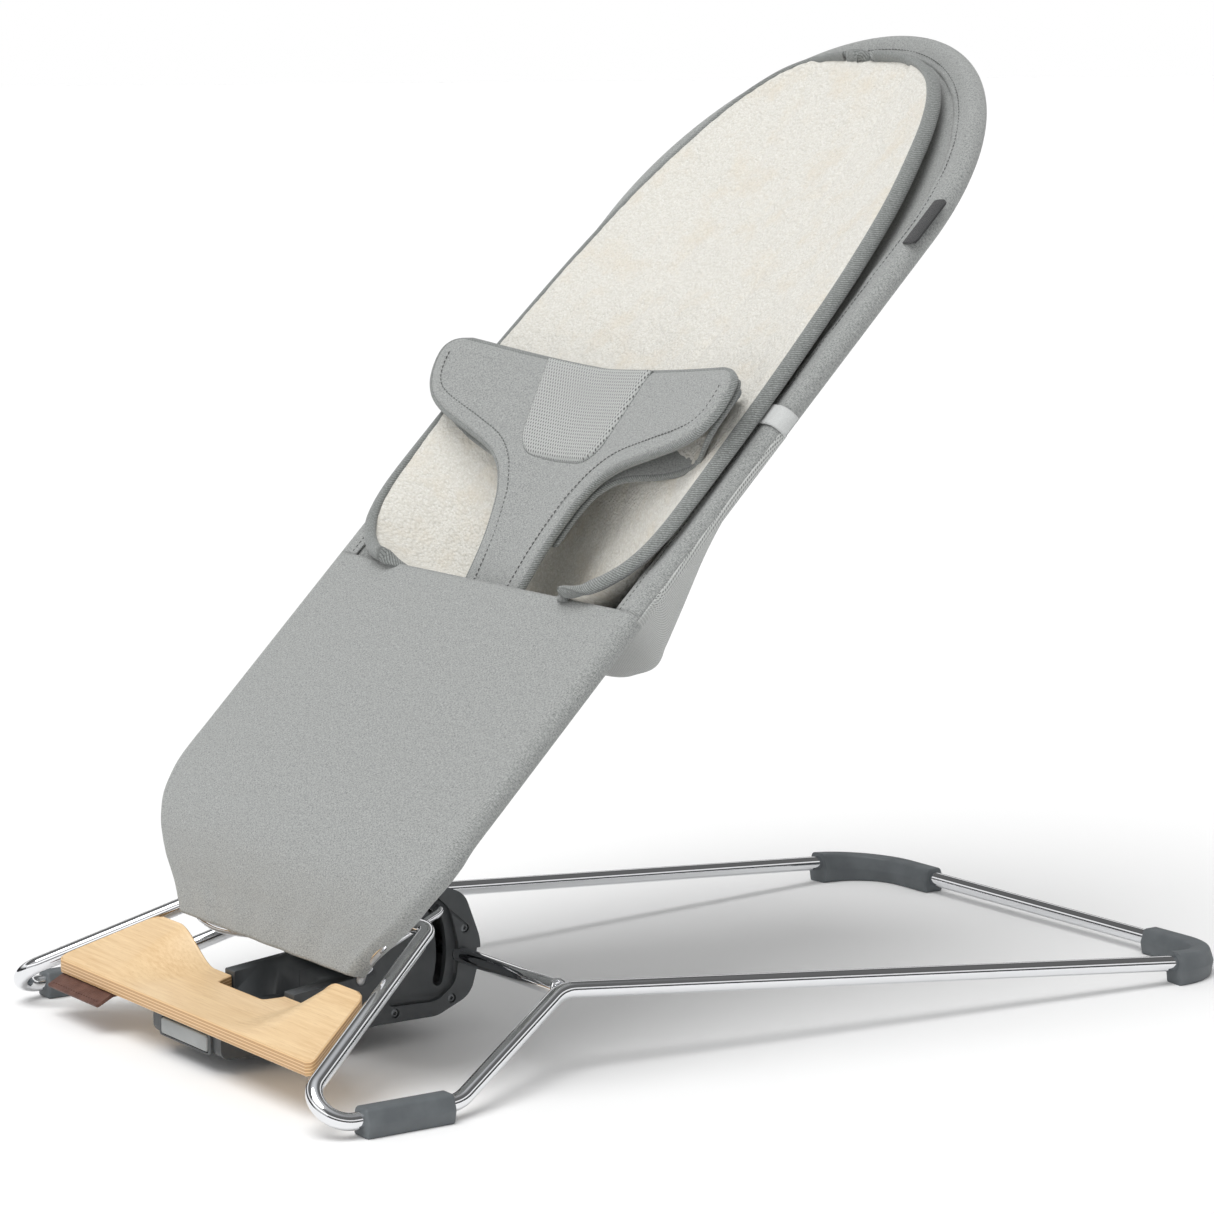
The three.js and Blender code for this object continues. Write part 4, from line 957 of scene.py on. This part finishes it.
def liner_off(v, along):
    """Height of the liner's underside: just over the panels, and down into the bucket. v is 1 at the edge."""
    dip = bucket_depth((along - POCKET + 0.004) / (BUCKET_END - 0.018 - POCKET)) * 0.66
    dish = 0.010 * (1 - v ** 2) * smoothstep(BUCKET_END - 0.03, BUCKET_END + 0.05, along)
    edge = 0.0135 - 0.0055 * (1 - v ** 4)
    return edge - dip * (1 - np.abs(v) ** 2.6) - dish * smoothstep(0, 0.1, 0.64 - along)


def value_noise(x, y, cell, seed):
    """Smooth random heights from -1 to 1: random values on a lattice, blended between its corners."""
    table = np.random.default_rng(seed).uniform(-1, 1, (256, 256))
    gx, gy = x / cell, y / cell
    ix, iy = np.floor(gx).astype(int), np.floor(gy).astype(int)
    fx, fy = gx - ix, gy - iy
    fx, fy = fx * fx * (3 - 2 * fx), fy * fy * (3 - 2 * fy)
    at = lambda a, b: table[a % 256, b % 256]
    return ((at(ix, iy) * (1 - fx) + at(ix + 1, iy) * fx) * (1 - fy)
            + (at(ix, iy + 1) * (1 - fx) + at(ix + 1, iy + 1) * fx) * fy)


def closed_pad(under, over, uv):
    """Two grids with a common border, joined into one closed form."""
    rows, columns = under.shape[:2]
    points = np.concatenate([over.reshape(-1, 3), under.reshape(-1, 3)])
    n = rows * columns
    top = grid_faces(rows, columns)[:, ::-1]
    loop = np.concatenate([np.arange(columns), columns * np.arange(1, rows) + columns - 1,
                           n - 2 - np.arange(columns - 1), columns * np.arange(rows - 2, 0, -1)])
    nxt = np.roll(loop, -1)
    side = np.stack([loop, nxt, nxt + n, loop + n], -1)
    faces = np.concatenate([top, grid_faces(rows, columns) + n, side])
    return points, faces, np.concatenate([uv, uv]).reshape(-1, 2)


def pad_piece(name, under, over, uv, cloth, slot, fill, **more):
    """A padded piece between two grids."""
    points, faces, cloth_uv = closed_pad(under, over, uv)
    made = piece(name, points, faces, cloth, slot, "seat", cloth_uv, **more)


def liner_points():
    """The underside and the crowned top, thickest inside and thin at the binding, with tufts of pile."""
    table = smooth_line([(a, h, 0) for a, h in LINER_AT], 24)
    line = resampled(table, 0.0023)
    along, half = line[:, :1], line[:, 1:2]
    v = np.linspace(-1, 1, 165)[None, :]
    x = v * half
    along = along + 0 * x
    under = liner_off(v, along)
    rim = np.clip(1 - np.abs(v), 0, 1) * half
    end = np.minimum(rim, np.minimum(LINER_HEAD - along, along - LINER_FOOT))
    crown = 0.0022 + 0.0052 * quarter_rise(end, 0.014)
    channel = sum(np.exp(-((x - c) / 0.0035) ** 2) for c in (-CHANNEL_X, CHANNEL_X))
    channel *= smoothstep(0.2, 0.26, along)
    pile = 0.0006 * value_noise(x, along, 0.0034, 3) + 0.0006 * value_noise(x, along, 0.011, 4)
    lumps = 0.0014 * value_noise(x, along, 0.045, 5)
    over = under + crown - 0.0014 * channel + (pile + lumps) * np.clip(end / 0.01, 0, 1)
    return seat_point(x, along, under), seat_point(x, along, over), np.stack([x, along], -1)


def terry_finish():
    """Terry pile: soft curled loops whose tone varies at random, with a painted highlight on the raised tips
    and painted shade between the loops, and worn patches that show a warmer ground.
    """
    made = Finish("cream_terry", roughness=0.95, sheen_weight=0.35, sheen_roughness=0.5)
    loops = made.node("ShaderNodeTexVoronoi", None, {"Vector": made.place(uv=True), "Scale": 520.0})
    curl = made.noise(made.place(uv=True), 900.0, 3.0, 0.7)
    patch = made.noise(made.place(uv=True), 26.0, 5.0, 0.65)
    # the curl noise both varies the pile's tone at random and paints a highlight on the raised tips
    shade = made.mix(made.between(curl, 0.35, 0.7), rgb(221, 218, 209), rgb(246, 245, 240))
    # painted shade: darker colour away from each loop's centre, in the gaps between loops
    shade = made.mix(made.between(loops, 0.25, 0.75, 0.0, 0.35), shade, rgb(196, 191, 178))
    shade = made.mix(made.between(patch, 0.5, 0.72, 0.0, 0.6), shade, rgb(224, 213, 194))
    made.set("Base Color", shade)
    made.bump(curl * 0.7 - loops * 0.8, 0.0011)
    return made.material


under, over, uv = liner_points()
pad_piece("terry_liner", under, over, uv, terry_finish(), "cream_terry", 0.35, replaces=["liner_pad"])


def border(grid):
    """The closed line round a grid's edge."""
    return np.concatenate([grid[0], grid[1:, -1], grid[-1, -2::-1], grid[-2:0:-1, 0]])


def resampled_loop(line, spacing, count=None):
    """A closed line with points at even steps."""
    shut = np.concatenate([line, line[:1]])
    along = lengths(shut)
    count = count or math.ceil(along[-1] / spacing)
    at = np.linspace(0, along[-1], count, endpoint=False)
    return np.stack([np.interp(at, along, shut[:, k]) for k in range(3)], 1)


def smoothed(values, width):
    """A closed row of vectors, each averaged with its neighbours."""
    return unit(sum(np.roll(values, k, 0) for k in range(-width, width + 1)))


def bound_edge(name, grid_under, grid_over, half_width, half_thick):
    """Binding tape folded over a pad's edge: an oval section carried round the border, its long axis lying in
    the pad and its short axis across it."""
    line = resampled_loop((border(grid_under) + border(grid_over)) / 2, TAPE_STEP)
    tangent = unit(np.roll(line, -1, 0) - np.roll(line, 1, 0))
    next_in = np.concatenate([grid_over[1], grid_over[1:, -2], grid_over[-2, -2::-1], grid_over[-2:0:-1, 1]])
    inner, outer = (resampled_loop(edge, TAPE_STEP, len(line)) for edge in (next_in, border(grid_over)))
    inward = smoothed(unit(inner - outer), 9)
    across = unit(np.cross(tangent, inward))
    outward = unit(np.cross(tangent, across))
    outward *= np.sign(-(outward * inward).sum(1, keepdims=True))
    turn = np.linspace(0, 2 * np.pi, TAPE_SIDES, endpoint=False)
    section = np.stack([np.cos(turn) * half_width, np.sin(turn) * half_thick], -1)
    points = line[:, None] + outward[:, None] * section[None, :, :1] + across[:, None] * section[None, :, 1:]
    around = np.linspace(0, 4 * half_width, TAPE_SIDES, endpoint=False)
    uv = pairs(around[None, :], lengths(line)[:, None])
    faces = grid_faces(len(line), TAPE_SIDES, True, True)
    welded(piece(name, points, faces, grey_twill, "grey_fabric", "seat", uv), 1e-7, outward=True)


bound_edge("liner_binding", under, over, 0.0052, 0.0034)


# ---- harness -------------------------------------------------------------------------------------
# A padded T of grey melange: a strap that comes up from the pocket and spreads into two wings, with a panel
# of spacer mesh in the middle, topstitched inside its bound edge.
HARNESS_FOOT, HARNESS_TOP = 0.166, 0.333
WIDTH_AT = [(0.166, 0.030), (0.184, 0.031), (0.208, 0.034), (0.232, 0.041), (0.244, 0.047), (0.256, 0.057),
            (0.266, 0.074), (0.274, 0.103), (0.281, 0.131), (0.288, 0.148), (0.297, 0.158), (0.308, 0.163),
            (0.320, 0.164), (0.327, 0.160), (0.331, 0.152), (0.333, 0.142)]


def harness_half(along):
    """Half width of the T, through the widths of the strap, the curve of the armpit and the wing."""
    s, w = np.array(WIDTH_AT).T
    line = smooth_line(np.stack([s, w, 0 * s], -1), 12)
    return np.interp(along, line[:, 0], line[:, 1])


def harness_off(x, along):
    """Height above the rails' plane: the strap climbs from the pocket, and the wings rise to their tips."""
    climb = -0.008 + 0.033 * (along - POCKET) / (HARNESS_TOP - POCKET)
    return climb + 0.020 * (np.abs(x) / 0.163) ** 1.4


def harness_grid(rows, columns, first=HARNESS_FOOT, last=HARNESS_TOP):
    """Rows of the T, closer together where it spreads."""
    u = np.linspace(0, 1, rows)
    weight = 1 + 3.2 * np.exp(-((first + u * (last - first) - 0.276) / 0.014) ** 2)
    weight += 2.5 * np.exp(-(1 - u) / 0.03)
    u = np.concatenate([[0], np.cumsum((weight[1:] + weight[:-1]) / 2)])
    along = (first + u / u[-1] * (last - first))[:, None]
    v = np.linspace(-1, 1, columns)[None, :]
    x = v * harness_half(along)
    return x, along + 0 * x, v + 0 * x


x, along, v = harness_grid(170, 101)
off = harness_off(x, along)
edge = np.minimum((1 - np.abs(v)) * harness_half(along), HARNESS_TOP - along)
pad = 0.0014 + 0.0024 * quarter_rise(edge, 0.010)
wrinkle = 0.0006 * value_noise(x, along, 0.03, 8) * np.clip(edge / 0.01, 0, 1)
h_under = seat_point(x, along, off - pad)
h_over = seat_point(x, along, off + pad + wrinkle)
pad_piece("harness_pad", h_under, h_over, np.stack([x, along], -1), grey_cloth, "grey_fabric", 0.3,
          replaces=["harness"])
bound_edge("harness_binding", h_under, h_over, 0.0026, 0.0021)

# The wings are double: a thinner layer behind them hangs clear in the middle of each wing.
LINING_TOP = 0.329
x, along, v = harness_grid(130, 91, 0.215, LINING_TOP)
x = x * 0.985
hang = smoothstep(0.045, 0.115, np.abs(x)) * (1 - smoothstep(0.128, 0.160, np.abs(x)))
off = harness_off(x, along) - 0.0055 - 0.015 * hang
edge = np.minimum((1 - np.abs(v)) * np.abs(x).max(), LINING_TOP - along)
thin = 0.0008 + 0.0008 * np.clip(edge / 0.006, 0, 1)
b_under, b_over = seat_point(x, along, off - thin), seat_point(x, along, off + thin)
pad_piece("harness_back_layer", b_under, b_over, np.stack([x, along], -1), grey_cloth, "grey_fabric", 0.15)
bound_edge("harness_back_binding", b_under, b_over, 0.0022, 0.0017)


def mesh_panel():
    """The panel: round lower corners, sides that open upwards, crowned by 2.2 mm over its edge."""
    foot, top = 0.266, HARNESS_TOP - 0.0015
    u = np.linspace(0, 1, 60)[:, None]
    along = foot + u * (top - foot)
    corner = 0.016
    draw = corner * (1 - quarter_rise(along - foot, corner))
    half = 0.041 + 0.017 * u ** 0.8 - draw
    v = np.linspace(-1, 1, 61)[None, :]
    x = v * half
    along = along + 0 * x
    rim = np.minimum((1 - np.abs(v)) * half, np.minimum(along - foot, top - along + 0.002))
    lift = 0.0012 + 0.0022 * quarter_rise(rim, 0.008)
    base = harness_off(x, along) + 0.0030
    return x, along, base, lift


x, along, base, lift = mesh_panel()
m_under, m_over = seat_point(x, along, base), seat_point(x, along, base + lift)
# the second colour is the painted shade in the mesh's holes
panel_cloth = spacer_mesh("harness_mesh", rgb(176, 178, 176), rgb(92, 94, 93), 0.0026)
pad_piece("harness_mesh_panel", m_under, m_over, np.stack([x, along], -1), panel_cloth, "grey_fabric", 0.4)
bound_edge("harness_panel_piping", m_under, m_over - 0.0012 * seat_normal, 0.0012, 0.0012)

STITCH_IN = 0.011          # from the harness's edge to its topstitching
s = harness_grid(240, 5, HARNESS_FOOT, HARNESS_TOP - STITCH_IN)[1][:, 0]
half = harness_half(s)
slope = np.gradient(half, s)
s = s + STITCH_IN * (1 - 1 / np.sqrt(1 + slope ** 2)) * 0.9
for side, sign in SIDES:
    reach = sign * (half - STITCH_IN)
    line = resampled(seat_point(reach, s, harness_off(reach, s) + 0.0040), 0.001)
    piece(f"harness_topstitch_{side}", *stitches(line, np.tile(seat_normal, (len(line), 1))), grey_thread,
          "grey_fabric", "seat")


# ---- trims ---------------------------------------------------------------------------------------
# Clips under the wings, a plain black woven tag and a pale ribbon loop, both sewn into the sleeve's seam.
# the 0.3 is the share of painted shade in the weave's low points
black_tape = melange("black_tape", rgb(22, 23, 25), rgb(38, 39, 41), 0.3, thread=0.0007)
pale_tape = melange("pale_tape", rgb(196, 198, 197), rgb(214, 216, 215), 0.3, thread=0.0008)


def side_tag(x0, along, off, length, reach, thick=0.0014):
    """A folded tape that stands out from the sleeve: a thin slab with rounded outer corners."""
    corner = 0.003
    u = np.linspace(0, 1, 40)[:, None]
    v = np.linspace(-0.5, 0.5, 30)[None, :]
    s = v * (length - 2 * corner * (1 - quarter_rise(reach - u * reach, corner)))
    out = x0 + u * reach + 0 * s
    lift = off + 0.0015 * np.sin(u * 2.2) + 0 * s
    low, high = (seat_point(out, along + s, lift + k * thick / 2) for k in (-1, 1))
    return closed_pad(low, high, np.stack([out, s], -1))


points, faces, cloth_uv = side_tag(SEAT_HALF - 0.001, RAIL_LENGTH + 0.006, 0.0078, 0.036, 0.0135)
piece("woven_side_tag", points, faces[:, ::-1], black_tape, "black_weave", "seat", cloth_uv,
      replaces=["side_tag"], angle=50)


def ribbon_points():
    """A short ribbon laid across the seam: flat over the band, then down round the outside of the sleeve."""
    radius = WRAP_R + 0.0010
    turn = np.linspace(np.pi / 2, -0.3, 14)
    out = np.concatenate([np.linspace(-0.014, -0.001, 7), radius * np.cos(turn)])
    lift = np.concatenate([np.full(7, radius), radius * np.sin(turn)])
    along = np.linspace(POCKET + 0.149, POCKET + 0.164, 9)[:, None]
    return seat_point(SEAT_HALF + out[None, :], along, lift[None, :])


points = ribbon_points()
ribbon = sheet_piece("pale_ribbon_strip", points, grid_uv(points), 1, 0.0008, 0.0, pale_tape, "pale_ribbon",
                     replaces=["ribbon_loop"])

# Each clip is a plastic ring, 16 by 26 mm along its middle line, between the two layers of a wing.
clip_plastic = plastic_finish("clip_plastic", rgb(112, 116, 117), rgb(126, 130, 131))
CLIP_AT = (0.140, POCKET + 0.145, 0.027)
ring = rounded_outline([(-0.008, -0.013), (0.008, -0.013), (0.008, 0.013), (-0.008, 0.013)], [0.0045] * 4, 8)
for side, sign in SIDES:
    loop = seat_point(sign * CLIP_AT[0] + ring[:, 0], CLIP_AT[1] + ring[:, 1], CLIP_AT[2])
    piece(f"harness_clip_{side}", *tube(loop, 0.0022, 14, closed=True), clip_plastic, "light_plastic", "seat",
          replaces=[f"buckle_{side}"])


# ---- floor, light and camera ---------------------------------------------------------------------
# A plain pale floor, a soft sun from above and a fainter one from the front, and an even white surround.
floor_mesh = bpy.data.meshes.new("floor")
floor_mesh.from_pydata([(-40, -40, 0), (40, -40, 0), (40, 40, 0), (-40, 40, 0)], [], [(0, 1, 2, 3)])
floor = bpy.data.objects.new("floor", floor_mesh)
bpy.context.scene.collection.objects.link(floor)
floor_finish = Finish("pale_floor", roughness=0.75, base_color=rgb(252, 252, 252))
floor_mesh.materials.append(floor_finish.material)


def light(name, energy, angle, direction):
    """A sun whose angle, in degrees, sets how soft its shadows are."""
    made = bpy.data.objects.new(name, bpy.data.lights.new(name, "SUN"))
    made.data.energy, made.data.angle = energy, math.radians(angle)
    made.rotation_mode = "QUATERNION"
    made.rotation_quaternion = Vector(direction).to_track_quat("-Z", "Y")
    bpy.context.scene.collection.objects.link(made)


light("key", 1.95, 45, (-0.12, 0.38, -1.0))
light("fill", 0.35, 60, (-0.3, 1.0, -0.5))

world = bpy.data.worlds.new("studio")
bpy.context.scene.world = world
world.use_nodes = True
sky = world.node_tree
sky.nodes.clear()


def backdrop(strength):
    """An even white surround."""
    made = sky.nodes.new("ShaderNodeBackground")
    made.inputs["Color"].default_value = (1, 1, 1, 1)
    made.inputs["Strength"].default_value = strength
    return made


def chosen(share, first, second):
    """The first surround, or the second where share is 1."""
    made = sky.nodes.new("ShaderNodeMixShader")
    for socket, source in zip(made.inputs, (share, first, second)):
        sky.links.new(source, socket)
    return made.outputs[0]


# Metal mirrors a studio that is dark near the horizon, with a bright band above it.
studio = backdrop(1.0)
direction = sky.nodes.new("ShaderNodeTexCoord")
height = sky.nodes.new("ShaderNodeSeparateXYZ")
ramp = sky.nodes.new("ShaderNodeValToRGB")
stops = ramp.color_ramp.elements
stops[0].position, stops[0].color = 0.0, (0.05, 0.05, 0.055, 1)
stops[1].position, stops[1].color = 1.0, (0.75, 0.76, 0.78, 1)
for place, value in ((0.20, 0.03), (0.28, 0.55), (0.42, 1.25), (0.50, 0.12), (0.8, 0.15)):
    stops.new(place).color = (value, value, value, 1)
sky.links.new(direction.outputs["Generated"], height.inputs[0])
sky.links.new(height.outputs["Z"], ramp.inputs[0])
sky.links.new(ramp.outputs[0], studio.inputs["Color"])
ray = sky.nodes.new("ShaderNodeLightPath").outputs
lit = chosen(ray["Is Glossy Ray"], backdrop(0.5).outputs[0], studio.outputs[0])
surround = chosen(ray["Is Camera Ray"], lit, backdrop(1.0).outputs[0])
sky.links.new(surround, sky.nodes.new("ShaderNodeOutputWorld").inputs["Surface"])

camera = bpy.data.objects.new("camera", bpy.data.cameras.new("camera"))
bpy.context.scene.collection.objects.link(camera)
camera.data.sensor_width = 36.0
camera.data.lens = 116.589
camera.data.clip_start, camera.data.clip_end = 0.05, 200.0
camera.location = (2.07565, -1.06969 - BACK, 0.6256)
azimuth, elevation = math.radians(55.37), math.radians(8.32)
camera.rotation_euler = (math.pi / 2 - elevation, 0.0, azimuth)
bpy.context.scene.camera = camera
bpy.context.scene.view_settings.view_transform = "Standard"
